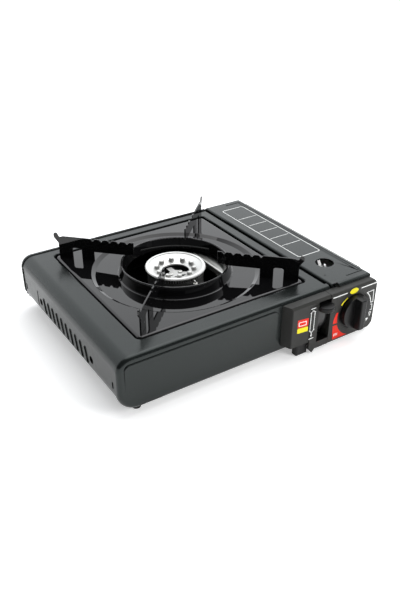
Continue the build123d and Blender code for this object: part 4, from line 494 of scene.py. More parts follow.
class STOVE_OT_finishes(bpy.types.Operator):
    """Make the finishes that the pieces wear"""

    bl_idname = "stove.finishes"
    bl_label = "Make Finishes"

    def execute(self, context):
        colours = context.scene.stove_finish
        FINISH["body_paint"] = paint_finish(colours)
        FINISH["enamel"] = enamel_finish(colours)
        FINISH["housing_plastic"] = plastic_finish(colours)
        FINISH["knob_plastic"] = knob_finish(colours)
        FINISH["burner_metal"] = burner_finish(colours)
        FINISH["plated_steel"] = plated_finish(colours)
        for key, (name, colour, rough, grain, depth, metallic, spread) in PLAIN_FINISHES.items():
            FINISH[key] = grained_finish(name, colour, rough, grain, depth * MM, metallic, spread)
        for key in ("print_white", "print_red", "print_yellow"):
            FINISH[key] = print_finish(key, getattr(colours, key))
        return {"FINISHED"}


def dress_group(nodes, edge, segments=2):
    """Dress several solids with the finish of their own slot."""
    for node in nodes:
        dress(node, edge, FINISH[NODE_SLOT[node]], segments)


RIM_DRAWN_IN = 0.95 * MM
RIM_ROLL = 4.3 * MM
RIM_FACING = 0.03


def draw_in_rim(mesh, low, high):
    """Draw a panel's lapping rim in to the case's skin, so that its cut edge doesn't show."""
    middle = (low + high) / 2
    for vertex in mesh.vertices:
        across = Vector((vertex.normal.x, 0.0, vertex.normal.z))
        outward = Vector((vertex.co.x - middle.x, 0.0, vertex.co.z - middle.z))
        if across.length > RIM_FACING and across.dot(outward) > 0:
            share = min(1.0, max(0.0, (high.y - vertex.co.y) / RIM_ROLL))
            vertex.co -= across.normalized() * RIM_DRAWN_IN * share


class STOVE_OT_case(bpy.types.Operator):
    """Dress the case, the end panels and the base plate"""

    bl_idname = "stove.case"
    bl_label = "Dress Case"

    def execute(self, context):
        edges = context.scene.stove_edges
        dress_group(("main_case", "front_panel", "base_plate"), edges.sheet)
        panel = dress("back_panel", edges.sheet, FINISH["body_paint"])
        draw_in_rim(panel.data, *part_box("back_panel"))
        return {"FINISHED"}


def prism(bm, outline, x0, x1):
    """A prism along the stove's width from an upright outline."""
    ends = [[bm.verts.new((x, y, z)) for y, z in outline] for x in (x0, x1)]
    bm.faces.new(ends[0])
    bm.faces.new(list(reversed(ends[1])))
    for i in range(len(outline)):
        j = (i + 1) % len(outline)
        bm.faces.new((ends[0][j], ends[0][i], ends[1][i], ends[1][j]))


# Light beads along the lid's right edge are painted highlights for the light on its ridges and bend
LID_HIGHLIGHT_BEADS = ((336.4, 74.75), (340.2, 73.25))
LID_BEAD_R = 0.55 * MM
LID_BEAD_END = 17.0 * MM
BEAD_TURNS = 10
BEAD_TAPER = 6.0
BEAD_TIP = 0.1


def half_round(bm, x, z, radius, y0, y1):
    """A round bar along the stove's depth with drawn-out ends, to be half sunk in a surface."""
    taper = BEAD_TAPER * radius
    rings = []
    for y, share in ((y0, BEAD_TIP), (y0 + taper, 1.0), (y1 - taper, 1.0), (y1, BEAD_TIP)):
        ring = []
        for k in range(BEAD_TURNS):
            angle = 2 * math.pi * k / BEAD_TURNS
            aside = radius * share * math.cos(angle)
            above = radius * share * math.sin(angle)
            ring.append(bm.verts.new((x + aside, y, z + above)))
        rings.append(ring)
    for ring, following in zip(rings, rings[1:]):
        for k in range(BEAD_TURNS):
            j = (k + 1) % BEAD_TURNS
            bm.faces.new((ring[k], ring[j], following[j], following[k]))
    bm.faces.new(rings[0])
    bm.faces.new(rings[-1])
    bmesh.ops.recalc_face_normals(bm, faces=bm.faces)


def plain_piece(name, bm, finish):
    """Make a smooth-shaded piece of its own from a built mesh."""
    mesh = mesh_of(bm, name)
    smooth_shaded(mesh)
    mesh.materials.append(finish)
    return link(bpy.data.objects.new(name, mesh))


LID_ROLL = 5.0 * MM
LID_SHOULDER = 9.0 * MM
LID_CORNER_DRAWN_IN = 4.0 * MM


def draw_in_lid_corner(mesh):
    """Draw in the lid's front right corner, so that its rolled end follows the control panel's round."""
    for vertex in mesh.vertices:
        ahead = (lid_low.y + LID_ROLL - vertex.co.y) / LID_ROLL
        aside = (vertex.co.x - lid_high.x + LID_SHOULDER) / LID_SHOULDER
        if ahead > 0 and aside > 0:
            vertex.co.x -= LID_CORNER_DRAWN_IN * ahead * ahead * aside


class STOVE_OT_lid(bpy.types.Operator):
    """Dress the cartridge lid and set light beads along its edge as painted highlights"""

    bl_idname = "stove.lid"
    bl_label = "Dress Lid"

    def execute(self, context):
        lid = dress("lid", context.scene.stove_edges.sheet, FINISH["body_paint"])
        draw_in_lid_corner(lid.data)
        front, back = lid_low.y + LID_BEAD_END, lid_high.y - LID_BEAD_END
        bm = bmesh.new()
        # Each bead is a painted highlight along the lid's edge.
        for x, z in LID_HIGHLIGHT_BEADS:
            half_round(bm, LEFT_X + x * MM, z * MM, LID_BEAD_R, front, back)
        beads = plain_piece("lid_edge_beads", bm, FINISH["ridge_painted_highlight"])
        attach(beads, "lid")
        return {"FINISHED"}


class STOVE_OT_tray(bpy.types.Operator):
    """Dress the drip tray and its four pan supports"""

    bl_idname = "stove.tray"
    bl_label = "Dress Tray"

    def execute(self, context):
        edges = context.scene.stove_edges
        arms = [n for n in NODE_SLOT if n.startswith("pan_support")]
        dress_group(("drip_tray",), edges.enamel, 3)
        dress_group(arms, edges.enamel, 3)
        return {"FINISHED"}


DISH_EDGE_R = 32.7 * MM
DISH_HOLE_R = 17.0 * MM
DISH_UNDER = 5.7 * MM
DISH_SINK = 1.9 * MM
SKIRT_R = 34.0 * MM
SKIRT_UNDER = 2.2 * MM
SKIRT_STEEP = 0.6


def dish_drop(x, y):
    """How far the turned dish lies below the plain solid, at a place on the burner."""
    out = math.hypot(x - BURNER_X, y - BURNER_Y)
    return DISH_SINK * min(1.0, max(0.0, (DISH_EDGE_R - out) / (DISH_EDGE_R - DISH_HOLE_R)))


def sink_dish(mesh):
    """Turn the burner's dish a little deeper towards its hole."""
    for vertex in mesh.vertices:
        if vertex.co.z > burner_high.z - DISH_UNDER:
            vertex.co.z -= dish_drop(vertex.co.x, vertex.co.y)


class STOVE_OT_burner(bpy.types.Operator):
    """Dress the burner, its spider, the heat plate and the electrode"""

    bl_idname = "stove.burner"
    bl_label = "Dress Burner"

    def execute(self, context):
        edges = context.scene.stove_edges
        head = dress("burner_head", edges.small, FINISH["burner_metal"])
        sink_dish(head.data)
        # The burner's side under the lip wears a much darker alloy, as painted shade for the shaded well.
        head.data.materials.append(FINISH["skirt_alloy_painted_shade"])
        for face in head.data.polygons:
            out = math.hypot(face.center.x - BURNER_X, face.center.y - BURNER_Y)
            under = face.center.z < burner_high.z - SKIRT_UNDER
            if out > SKIRT_R and under and abs(face.normal.z) < SKIRT_STEEP:
                face.material_index = 1
        dress("burner_bowl", edges.small, FINISH["bowl_steel"])
        dress("mixing_tube", edges.small, FINISH["lock_zinc"])
        dress("burner_spider", edges.small, FINISH["spider_zinc"])
        small = ("burner_bracket", "heat_plate", "electrode_ceramic", "electrode_wire", "electrode_clip")
        dress_group(small, edges.small)
        return {"FINISHED"}


LEVER_Y = -99.7 * MM
LEVER_Z = 43.0 * MM
DRUM_R = 31.6 * MM
DRUM_THICK = 1.4 * MM
DRUM_LEFT = 79.4 * MM
DRUM_RIGHT = 91.6 * MM
DRUM_LOW = math.radians(-42.0)
DRUM_HIGH = math.radians(20.0)
DRUM_TURNS = 24
SLOT_LEFT = 78.6 * MM
SLOT_RIGHT = 92.4 * MM
SLOT_SHADE_FROM = 1.5 * MM


def paint_slot_shade_black(mesh):
    """Paint the faces inside the lever's slot in the lever's black finish, as painted shade for the shade
    that falls inside the slot.
    """
    mesh.materials.append(FINISH["knob_plastic"])
    inside_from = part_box("lever_housing")[0].y + SLOT_SHADE_FROM
    for face in mesh.polygons:
        if SLOT_LEFT < face.center.x < SLOT_RIGHT and face.center.y > inside_from:
            face.material_index = 1


class STOVE_OT_controls(bpy.types.Operator):
    """Dress the lever housing, the control panel, the knob, the lock lever and its drum"""

    bl_idname = "stove.controls"
    bl_label = "Dress Controls"

    def execute(self, context):
        edges = context.scene.stove_edges
        housing = dress("lever_housing", edges.moulded, FINISH["housing_plastic"], 3)
        # The inside of the slot is painted black: painted shade.
        paint_slot_shade_black(housing.data)
        dress_group(("control_panel", "knob"), edges.moulded, 3)
        dress("lock_lever", edges.moulded, FINISH["knob_plastic"], 3)
        bm = bmesh.new()
        arc = []
        for k in range(DRUM_TURNS + 1):
            angle = DRUM_LOW + (DRUM_HIGH - DRUM_LOW) * k / DRUM_TURNS
            arc.append((math.cos(angle), math.sin(angle)))
        outline = [(LEVER_Y - DRUM_R * c, LEVER_Z + DRUM_R * s) for c, s in arc]
        inner = DRUM_R - DRUM_THICK
        outline += [(LEVER_Y - inner * c, LEVER_Z + inner * s) for c, s in reversed(arc)]
        prism(bm, outline, DRUM_LEFT, DRUM_RIGHT)
        bmesh.ops.recalc_face_normals(bm, faces=bm.faces)
        # The drum face is lighter than the lever's black: painted light.
        drum = plain_piece("lever_drum_face", bm, FINISH["drum_plastic_painted_light"])
        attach(drum, NODE_BODY["lock_lever"])
        return {"FINISHED"}


class STOVE_OT_gas_train(bpy.types.Operator):
    """Dress the cartridge bay, the regulator, the lock and the igniter"""

    bl_idname = "stove.gas_train"
    bl_label = "Dress Gas Train"

    def execute(self, context):
        edges = context.scene.stove_edges
        dress_group(("bay_pan", "valve_bracket"), edges.small)
        dress_group(("lock_plate", "guide_tab"), edges.small)
        dress_group(("regulator_body", "diaphragm_cover"), edges.sheet)
        small = ("inlet_seal", "jet_nozzle", "valve_stem", "lever_pin", "lock_studs", "lid_pin_front",
                 "lid_pin_back", "piezo_unit", "ignition_lead")
        dress_group(small, edges.small)
        return {"FINISHED"}


class STOVE_OT_feet(bpy.types.Operator):
    """Dress the four feet"""

    bl_idname = "stove.feet"
    bl_label = "Dress Feet"

    def execute(self, context):
        feet = [n for n in NODE_SLOT if n.startswith("foot_")]
        dress_group(feet, context.scene.stove_edges.moulded, 3)
        return {"FINISHED"}


PRONG_THICK = 1.1 * MM
PRONG_EDGE = 0.25 * MM
PRONGS = {
    "tall": (137.4, 141.8, -67.4, 65.9, -62.2, 72.0),
    "short": (138.3, 140.9, -77.4, 66.3, -73.6, 71.6),
}
PRONG_STRIP = (138.2, 141.0, -71.8, 65.75, -66.0, 66.3)


class STOVE_OT_prongs(bpy.types.Operator):
    """Make the guide's two leaning prongs, seen through the lid's window, near-white as a painted highlight
    """

    bl_idname = "stove.prongs"
    bl_label = "Make Guide Prongs"

    def execute(self, context):
        bm = bmesh.new()
        for x0, x1, y0, z0, y1, z1 in PRONGS.values():
            y0, y1 = y0 * MM, y1 * MM
            outline = [(y0, z0 * MM), (y1, z1 * MM), (y1 + PRONG_THICK, z1 * MM), (y0 + PRONG_THICK, z0 * MM)]
            prism(bm, outline, x0 * MM, x1 * MM)
        x0, x1, y0, z0, y1, z1 = (size * MM for size in PRONG_STRIP)
        prism(bm, [(y0, z0), (y0, z1), (y1, z1), (y1, z0)], x0, x1)
        bmesh.ops.recalc_face_normals(bm, faces=bm.faces)
        bmesh.ops.bevel(bm, geom=bm.edges[:], offset=PRONG_EDGE, segments=2, profile=0.5, affect="EDGES")
        # The prongs' near-white is a painted highlight for the light they catch.
        prongs = plain_piece("guide_prongs", bm, FINISH["prong_painted_highlight"])
        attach(prongs, NODE_BODY["guide_tab"])
        return {"FINISHED"}


# Repeated details, made with geometry nodes

def tree_input(tree, name, kind, default=None):
    """Add a named input to a geometry node tree."""
    socket = tree.interface.new_socket(name, in_out="INPUT", socket_type=kind)
    if default is not None:
        socket.default_value = default
    return socket


def copies_tree(name, in_a_row):
    """Tree that sets copies of a shape on points, or in a row by a step, and gives them a finish."""
    tree = bpy.data.node_groups.new(name, "GeometryNodeTree")
    sockets = {"points": tree_input(tree, "Points", "NodeSocketGeometry")}
    sockets["shape"] = tree_input(tree, "Shape", "NodeSocketObject")
    sockets["finish"] = tree_input(tree, "Finish", "NodeSocketMaterial")
    if in_a_row:
        sockets["count"] = tree_input(tree, "Count", "NodeSocketInt", 2)
        sockets["start"] = tree_input(tree, "Start", "NodeSocketVector")
        sockets["step"] = tree_input(tree, "Step", "NodeSocketVector")
    tree.interface.new_socket("Copies", in_out="OUTPUT", socket_type="NodeSocketGeometry")
    start = tree.nodes.new("NodeGroupInput")
    end = tree.nodes.new("NodeGroupOutput")
    shape = tree.nodes.new("GeometryNodeObjectInfo")
    place = tree.nodes.new("GeometryNodeInstanceOnPoints")
    realize = tree.nodes.new("GeometryNodeRealizeInstances")
    paint = tree.nodes.new("GeometryNodeSetMaterial")
    join = tree.links.new
    join(start.outputs["Shape"], shape.inputs["Object"])
    join(shape.outputs["Geometry"], place.inputs["Instance"])
    if in_a_row:
        row = tree.nodes.new("GeometryNodeMeshLine")
        row.mode = "OFFSET"
        join(start.outputs["Count"], row.inputs["Count"])
        join(start.outputs["Start"], row.inputs["Start Location"])
        join(start.outputs["Step"], row.inputs["Offset"])
        join(row.outputs["Mesh"], place.inputs["Points"])
    else:
        join(start.outputs["Points"], place.inputs["Points"])
    join(place.outputs["Instances"], realize.inputs["Geometry"])
    join(realize.outputs["Geometry"], paint.inputs["Geometry"])
    join(start.outputs["Finish"], paint.inputs["Material"])
    join(paint.outputs["Geometry"], end.inputs["Copies"])
    return tree, {key: socket.identifier for key, socket in sockets.items()}


def copies_piece(name, shape, finish, points=(), row=None):
    """A plain mesh piece of copies of a shape, on points or in a row of (count, start, step)."""
    tree, ids = copies_tree(name + "_tree", row is not None)
    seed = bpy.data.meshes.new(name + "_points")
    seed.from_pydata([tuple(p) for p in points] or [(0, 0, 0)], [], [])
    obj = link(bpy.data.objects.new(name, seed))
    copies = obj.modifiers.new("Copies", "NODES")
    copies.node_group = tree
    copies[ids["shape"]] = shape
    copies[ids["finish"]] = finish
    if row is not None:
        copies[ids["count"]] = row[0]
        copies[ids["start"]] = row[1]
        copies[ids["step"]] = row[2]
    mesh = plain_mesh(obj, name)
    obj.modifiers.clear()
    obj.data = mesh
    bpy.data.meshes.remove(seed)
    discard(shape)
    if len(mesh.polygons) == 0:
        raise RuntimeError("no copies made for " + name)
    return obj


LIP_TURNS = 10
LIP_RING = 7
LIP_OUT = 0.5
LIP_PROUD = 0.8
LIP_CRISP = math.radians(50.0)


def slot_lip_shape(name, length, width, lean, radius):
    """A half-round lip that follows a slot's outline, in the upright plane along the stove."""
    bm = bmesh.new()
    path = []
    for end, first in ((1, -90.0), (-1, 90.0)):
        for i in range(LIP_TURNS + 1):
            angle = math.radians(first + 180.0 * i / LIP_TURNS)
            out = Vector((math.cos(angle), math.sin(angle)))
            path.append((Vector((end * (length - width) / 2, 0.0)) + out * width / 2, out))
    spin = Matrix.Rotation(math.radians(90.0) - lean, 2)
    loops = []
    for at, out in path:
        loop = []
        for k in range(LIP_RING):
            angle = math.pi * k / (LIP_RING - 1)
            flat = spin @ (at + out * (radius * math.cos(angle) + radius * LIP_OUT))
            loop.append(bm.verts.new((-radius * LIP_PROUD * math.sin(angle), flat.x, flat.y)))
        loops.append(loop)
    for i, loop in enumerate(loops):
        following = loops[(i + 1) % len(loops)]
        for k in range(LIP_RING - 1):
            bm.faces.new((loop[k], loop[k + 1], following[k + 1], following[k]))
        bm.faces.new((loop[-1], loop[0], following[0], following[-1]))
    bmesh.ops.recalc_face_normals(bm, faces=bm.faces)
    mesh = mesh_of(bm, name)
    smooth_shaded(mesh, LIP_CRISP)
    return link(bpy.data.objects.new(name, mesh))


def lathe(bm, profile, turns=40):
    """Turn a profile of (radius, height) points round the upright axis and close it."""
    loops = []
    for radius, height in profile:
        if radius == 0.0:
            loops.append([bm.verts.new((0.0, 0.0, height))])
            continue
        loop = []
        for i in range(turns):
            angle = 2 * math.pi * i / turns
            loop.append(bm.verts.new((radius * math.cos(angle), radius * math.sin(angle), height)))
        loops.append(loop)
    for low, high in zip(loops, loops[1:]):
        for i in range(turns):
            j = (i + 1) % turns
            corners = [low[i % len(low)], low[j % len(low)], high[j % len(high)], high[i % len(high)]]
            bm.faces.new(list(dict.fromkeys(corners)))
    bmesh.ops.recalc_face_normals(bm, faces=bm.faces)


STUD_COUNT = 10
STUD_CIRCLE_R = 22.5 * MM
STUD_SUNK = 0.12 * MM
STUD_TURNS = 20
STUD_PROFILE = (
    (0.0, -0.9), (1.2, -0.9), (1.5, 0.05), (2.3, 0.12),
    (2.95, -0.25), (3.05, -1.6), (3.25, -3.6), (0.0, -3.6),
)


class STOVE_OT_studs(bpy.types.Operator):
    """Set the hollow cast studs round the burner's dish"""

    bl_idname = "stove.studs"
    bl_label = "Set Burner Studs"

    def execute(self, context):
        bm = bmesh.new()
        lathe(bm, [(r * MM, z * MM) for r, z in STUD_PROFILE], STUD_TURNS)
        mesh = mesh_of(bm, "burner_stud")
        smooth_shaded(mesh)
        shape = link(bpy.data.objects.new("burner_stud", mesh))
        points = []
        for k in range(STUD_COUNT):
            angle = 2 * math.pi * k / STUD_COUNT
            x = BURNER_X + STUD_CIRCLE_R * math.cos(angle)
            y = BURNER_Y + STUD_CIRCLE_R * math.sin(angle)
            points.append((x, y, burner_high.z - dish_drop(x, y) - STUD_SUNK))
        studs = copies_piece("burner_studs", shape, FINISH["stud_cast"], points=points)
        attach(studs, "stove")
        return {"FINISHED"}


VENT_LENGTH = 20.2 * MM
VENT_WIDTH = 5.4 * MM
VENT_STEP = 13.1 * MM
VENT_HEIGHT = 36.8 * MM
VENT_LEAN = math.radians(17.0)
VENT_FIELD_DEPTH = 0.45 * MM


class STOVE_OT_vent_lips(bpy.types.Operator):
    """Roll a lip round each slanted vent in the left side"""

    bl_idname = "stove.vent_lips"
    bl_label = "Roll Vent Lips"

    def execute(self, context):
        edges = context.scene.stove_edges
        lip = slot_lip_shape("vent_lip", VENT_LENGTH, VENT_WIDTH, VENT_LEAN, edges.vent_lip)
        first = BURNER_Y - VENT_STEP * (edges.vent_count - 1) / 2
        start = (case_low.x + VENT_FIELD_DEPTH, first, VENT_HEIGHT)
        row = (edges.vent_count, start, (0.0, VENT_STEP, 0.0))
        lips = copies_piece("vent_lips", lip, FINISH["body_paint"], row=row)
        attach(lips, "stove")
        return {"FINISHED"}


# Proportions of a screw's tip, head and cross recess
TIP_R = 0.6
TIP_CHAMFER = 0.5
HEAD_FOOT_R = 0.96
HEAD_FOOT_H = 0.12
DOME_FOOT = 0.35
DOME_STEPS = 6
RECESS = (1.15, 0.26, 1.2)
RECESS_HEIGHT = 1.02
SCREW_CRISP = math.radians(38.0)


def screw_shape(name, head_r, head_h, shank_r, shank_l, upward):
    """A pan-head screw with a cross recess, its head's underside at the origin."""
    side = 1.0 if upward else -1.0
    bm = bmesh.new()
    profile = [(0.0, -shank_l), (shank_r * TIP_R, -shank_l), (shank_r, -shank_l + shank_r * TIP_CHAMFER)]
    profile += [(shank_r, 0.0), (head_r * HEAD_FOOT_R, 0.0), (head_r, head_h * HEAD_FOOT_H)]
    for k in range(DOME_STEPS):
        angle = math.radians(90.0 * k / DOME_STEPS)
        height = head_h * (DOME_FOOT + (1 - DOME_FOOT) * math.sin(angle))
        profile.append((head_r * math.cos(angle), height))
    profile.append((0.0, head_h))
    lathe(bm, [(r, side * z) for r, z in profile])
    mesh = mesh_of(bm, name)
    obj = link(bpy.data.objects.new(name, mesh))
    cutters = []
    for turned in (0.0, math.radians(90.0)):
        cut = bmesh.new()
        size = Matrix.Diagonal((head_r * RECESS[0], head_r * RECESS[1], head_h * RECESS[2], 1.0))
        above = Matrix.Translation((0.0, 0.0, side * head_h * RECESS_HEIGHT))
        place = above @ Matrix.Rotation(turned, 4, "Z") @ size
        bmesh.ops.create_cube(cut, size=1.0, matrix=place)
        cutter = link(bpy.data.objects.new(name + "_recess", mesh_of(cut, name + "_recess")))
        cutters.append(cutter)
        carve = obj.modifiers.new("Recess", "BOOLEAN")
        carve.operation = "DIFFERENCE"
        carve.solver = "EXACT"
        carve.object = cutter
    carved = plain_mesh(obj, name)
    obj.modifiers.clear()
    obj.data = carved
    bpy.data.meshes.remove(mesh)
    for cutter in cutters:
        discard(cutter)
    smooth_shaded(carved, SCREW_CRISP)
    return obj


def upright_boxes(node):
    """Boxes of the separate upright solids in a node, from its joined mesh."""
    bm = bmesh.new()
    bm.from_mesh(frame["nodes"][node].data)
    bmesh.ops.remove_doubles(bm, verts=bm.verts, dist=JOIN_DISTANCE)
    left = set(bm.verts)
    found = []
    while left:
        wave = [left.pop()]
        seen = []
        while wave:
            vert = wave.pop()
            seen.append(vert.co.copy())
            for edge in vert.link_edges:
                other = edge.other_vert(vert)
                if other in left:
                    left.remove(other)
                    wave.append(other)
        low = Vector([min(co[k] for co in seen) for k in range(3)])
        high = Vector([max(co[k] for co in seen) for k in range(3)])
        found.append((low, high))
    bm.free()
    return sorted(found, key=lambda pair: (round(pair[0].x, 5), round(pair[0].y, 5)))


SCREW_HEAD = 1.8 * MM
SCREW_SHANK_R = 1.5 * MM


class STOVE_OT_screws(bpy.types.Operator):
    """Put cross-head screws in the burner and under the base"""

    bl_idname = "stove.screws"
    bl_label = "Put In Screws"

    def execute(self, context):
        for node, upward in (("spider_screws", True), ("base_screws", False)):
            screws = []
            for index, (low, high) in enumerate(upright_boxes(node)):
                head_r = (high.x - low.x) / 2
                shank = high.z - low.z - SCREW_HEAD
                seat = high.z - SCREW_HEAD if upward else low.z + SCREW_HEAD
                place = ((low.x + high.x) / 2, (low.y + high.y) / 2, seat)
                shape = screw_shape(f"{node}_{index}_shape", head_r, SCREW_HEAD, SCREW_SHANK_R, shank, upward)
                screws.append(copies_piece(f"{node}_{index}", shape, FINISH["plated_steel"], points=[place]))
            whole = bmesh.new()
            for piece in screws:
                whole.from_mesh(piece.data)
            mesh = mesh_of(whole, finished_name(node))
            for piece in screws:
                discard(piece)
            smooth_shaded(mesh, SCREW_CRISP)
            mesh.materials.append(FINISH["plated_steel"])
            stand_for(link(bpy.data.objects.new(finished_name(node), mesh)), node)
        return {"FINISHED"}


# Printed marks. Outlines are in millimetres from the body's left edge, and from the table or the front panel

FACING_FRONT = (0.0, -1.0, 0.0)
FACING_UP = (0.0, 0.0, 1.0)
CORNER_SHARE = 0.45
NO_LENGTH = 1e-9
MITRE_MOST = 2.0
MITRE_LEAST = 0.3
PRINT_SUNK = 0.4
PRINT_JOIN = 0.005 * MM


def arc_points(centre, radius, first, last, steps, last_radius):
    """Points on an arc whose radius changes evenly, angles in degrees."""
    points = []
    for i in range(steps + 1):
        share = i / steps
        angle = math.radians(first + (last - first) * share)
        r = radius + (last_radius - radius) * share
        points.append((centre[0] + r * math.cos(angle), centre[1] + r * math.sin(angle)))
    return points


def rounded_corners(points, radius, steps=5):
    """A polygon with its corners rounded by about the radius."""
    result = []
    for i, point in enumerate(points):
        here = Vector(point)
        before = Vector(points[i - 1]) - here
        after = Vector(points[(i + 1) % len(points)]) - here
        reach = min(radius, before.length * CORNER_SHARE, after.length * CORNER_SHARE)
        start = here + before.normalized() * reach
        end = here + after.normalized() * reach
        for k in range(steps + 1):
            t = k / steps
            result.append(tuple(start * (1 - t) ** 2 + here * 2 * t * (1 - t) + end * t * t))
    return result


def outline_band(points, width):
    """A closed line of the given width along a polygon, as quads."""
    count = len(points)
    inner = []
    outer = []
    area = sum(points[i - 1][0] * points[i][1] - points[i][0] * points[i - 1][1] for i in range(count))
    turn = 1.0 if area > 0 else -1.0
    for i in range(count):
        here = Vector(points[i])
        ahead = Vector(points[(i + 1) % count]) - here
        behind = here - Vector(points[i - 1])
        ahead = behind if ahead.length < NO_LENGTH else ahead
        behind = ahead if behind.length < NO_LENGTH else behind
        n1 = Vector((behind.y, -behind.x)).normalized() * turn
        n2 = Vector((ahead.y, -ahead.x)).normalized() * turn
        normal = (n1 + n2).normalized()
        stretch = min(MITRE_MOST, 1.0 / max(MITRE_LEAST, normal.dot(n1)))
        outer.append(tuple(here))
        inner.append(tuple(here - normal * width * stretch))
    return [[outer[i], outer[(i + 1) % count], inner[(i + 1) % count], inner[i]] for i in range(count)]


def printed(name, polygons, to_place, normal, finish, body):
    """Thin printed piece: flat polygons set on a face and given a little thickness along its normal."""
    proud = bpy.context.scene.stove_edges.print_proud
    bm = bmesh.new()
    up = Vector(normal) * proud
    for polygon in polygons:
        verts = [bm.verts.new(Vector(to_place(*p)) - up * PRINT_SUNK) for p in polygon]
        bm.faces.new(verts)
    bmesh.ops.remove_doubles(bm, verts=bm.verts, dist=PRINT_JOIN)
    made = bmesh.ops.extrude_face_region(bm, geom=bm.faces[:])
    raised = [v for v in made["geom"] if isinstance(v, bmesh.types.BMVert)]
    bmesh.ops.translate(bm, verts=raised, vec=up * (1 + PRINT_SUNK))
    bmesh.ops.recalc_face_normals(bm, faces=bm.faces)
    bmesh.ops.triangulate(bm, faces=[f for f in bm.faces if len(f.verts) > 4])
    mesh = mesh_of(bm, name)
    mesh.materials.append(finish)
    obj = link(bpy.data.objects.new(name, mesh))
    if len(mesh.polygons) == 0:
        raise RuntimeError("nothing printed for " + name)
    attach(obj, body)


def on_front(depth):
    """Maker of places on an upright front face: x from the left edge and height, in millimetres."""
    return lambda x, z: (LEFT_X + x * MM, depth, z * MM)


def on_lid(height):
    """Maker of places on the lid's top: x from the left edge and y from the front panel, in millimetres."""
    return lambda x, y: (LEFT_X + x * MM, FRONT_Y + y * MM, height)


def bar(x0, z0, x1, z1, width):
    """A straight stroke as one quad."""
    start = Vector((x0, z0))
    end = Vector((x1, z1))
    side = Vector((-(end - start).y, (end - start).x)).normalized() * width / 2
    return [tuple(start - side), tuple(end - side), tuple(end + side), tuple(start + side)]


def print_on_front(name, polygons, depth, ink):
    """Print on one of the upright faces at the stove's front."""
    printed(name, polygons, on_front(depth), FACING_FRONT, FINISH[ink], "stove")


CONTROL_LINES = ((271.0, 65.8, 293.5, 65.8), (315.8, 65.8, 341.0, 65.8))
CONTROL_LINE_WIDTH = 1.3
OVAL_MIDDLE = (304.2, 65.4)
OVAL_REACH = (6.7, 3.7)
OVAL_STEPS = 40
HEAT_LARGE = [(338.0, 57.0), (339.3, 38.9)]
HEAT_MIDDLE = [(338.5, 36.9), (338.6, 27.9), (333.7, 28.6), (333.2, 37.7)]
HEAT_SMALL = [(338.3, 25.9), (336.4, 19.2), (333.5, 26.5)]
HEAT_TICK = [(334.8, 17.8), (331.5, 13.9), (330.2, 18.5)]
RED_CORNER = [(277.0, 6.6), (275.3, 26.0)]
LETTER_LOW = 10.6
LETTER_HIGH = 14.2
LETTER_O = (278.0, 280.3)
LETTER_N = (281.6, 283.8)
LETTER_ROUND = 1.0
LETTER_STROKE = 0.6

# Arcs round the knob: radius, first and last angle in degrees, steps and last radius
HEAT_ARC = (27.4, 2.5, 44.5, 8, 25.8)
CRESCENT_ARCS = ((26.4, 148.5, 121.0, 14, 24.4), (23.6, 121.0, 148.5, 14, 24.0))
RED_UPPER_ARCS = ((25.3, 169.6, 201.0, 12, 27.0), (33.3, 196.0, 169.6, 12, 28.2))
RED_LOWER_ARC = (28.0, 206.0, 257.5, 18, 32.6)


def round_knob(*arcs):
    """Points along arcs round the knob, one arc after the other."""
    dial = ((KNOB_X - LEFT_X) / MM, KNOB_Z / MM)
    return [point for arc in arcs for point in arc_points(dial, *arc)]


def letters_on():
    """The strokes of the word ON."""
    o_left, o_right = LETTER_O
    n_left, n_right = LETTER_N
    corners = [(o_left, LETTER_LOW), (o_right, LETTER_LOW), (o_right, LETTER_HIGH), (o_left, LETTER_HIGH)]
    strokes = outline_band(rounded_corners(corners, LETTER_ROUND), LETTER_STROKE)
    strokes.append(bar(n_left, LETTER_LOW, n_left, LETTER_HIGH, LETTER_STROKE))
    strokes.append(bar(n_right, LETTER_LOW, n_right, LETTER_HIGH, LETTER_STROKE))
    strokes.append(bar(n_left, LETTER_HIGH, n_right, LETTER_LOW, LETTER_STROKE))
    return strokes


class STOVE_OT_control_marks(bpy.types.Operator):
    """Print the lines, coloured sectors and heat scale on the control panel"""

    bl_idname = "stove.control_marks"
    bl_label = "Print Control Marks"

    def execute(self, context):
        edges = context.scene.stove_edges
        face = control_low.y
        # White lines along the top, and a hollow heat scale right of the knob, from large to small
        lines = [bar(*ends, CONTROL_LINE_WIDTH) for ends in CONTROL_LINES]
        for shape in (HEAT_LARGE + round_knob(HEAT_ARC), HEAT_MIDDLE, HEAT_SMALL):
            lines += outline_band(shape, edges.print_line / MM)
        lines.append(HEAT_TICK)
        print_on_front("control_lines", lines, face, "print_white")
        # A yellow oval between the lines, and a crescent and red sectors left of the knob
        oval = []
        for k in range(OVAL_STEPS):
            angle = 2 * math.pi * k / OVAL_STEPS
            x = OVAL_MIDDLE[0] + OVAL_REACH[0] * math.cos(angle)
            oval.append((x, OVAL_MIDDLE[1] + OVAL_REACH[1] * math.sin(angle)))
        print_on_front("control_yellow", [oval, round_knob(*CRESCENT_ARCS)], face, "print_yellow")
        sectors = [round_knob(*RED_UPPER_ARCS), round_knob(RED_LOWER_ARC) + RED_CORNER]
        print_on_front("control_red", sectors, face, "print_red")
        print_on_front("control_on", letters_on(), face - edges.print_proud, "print_white")
        return {"FINISHED"}


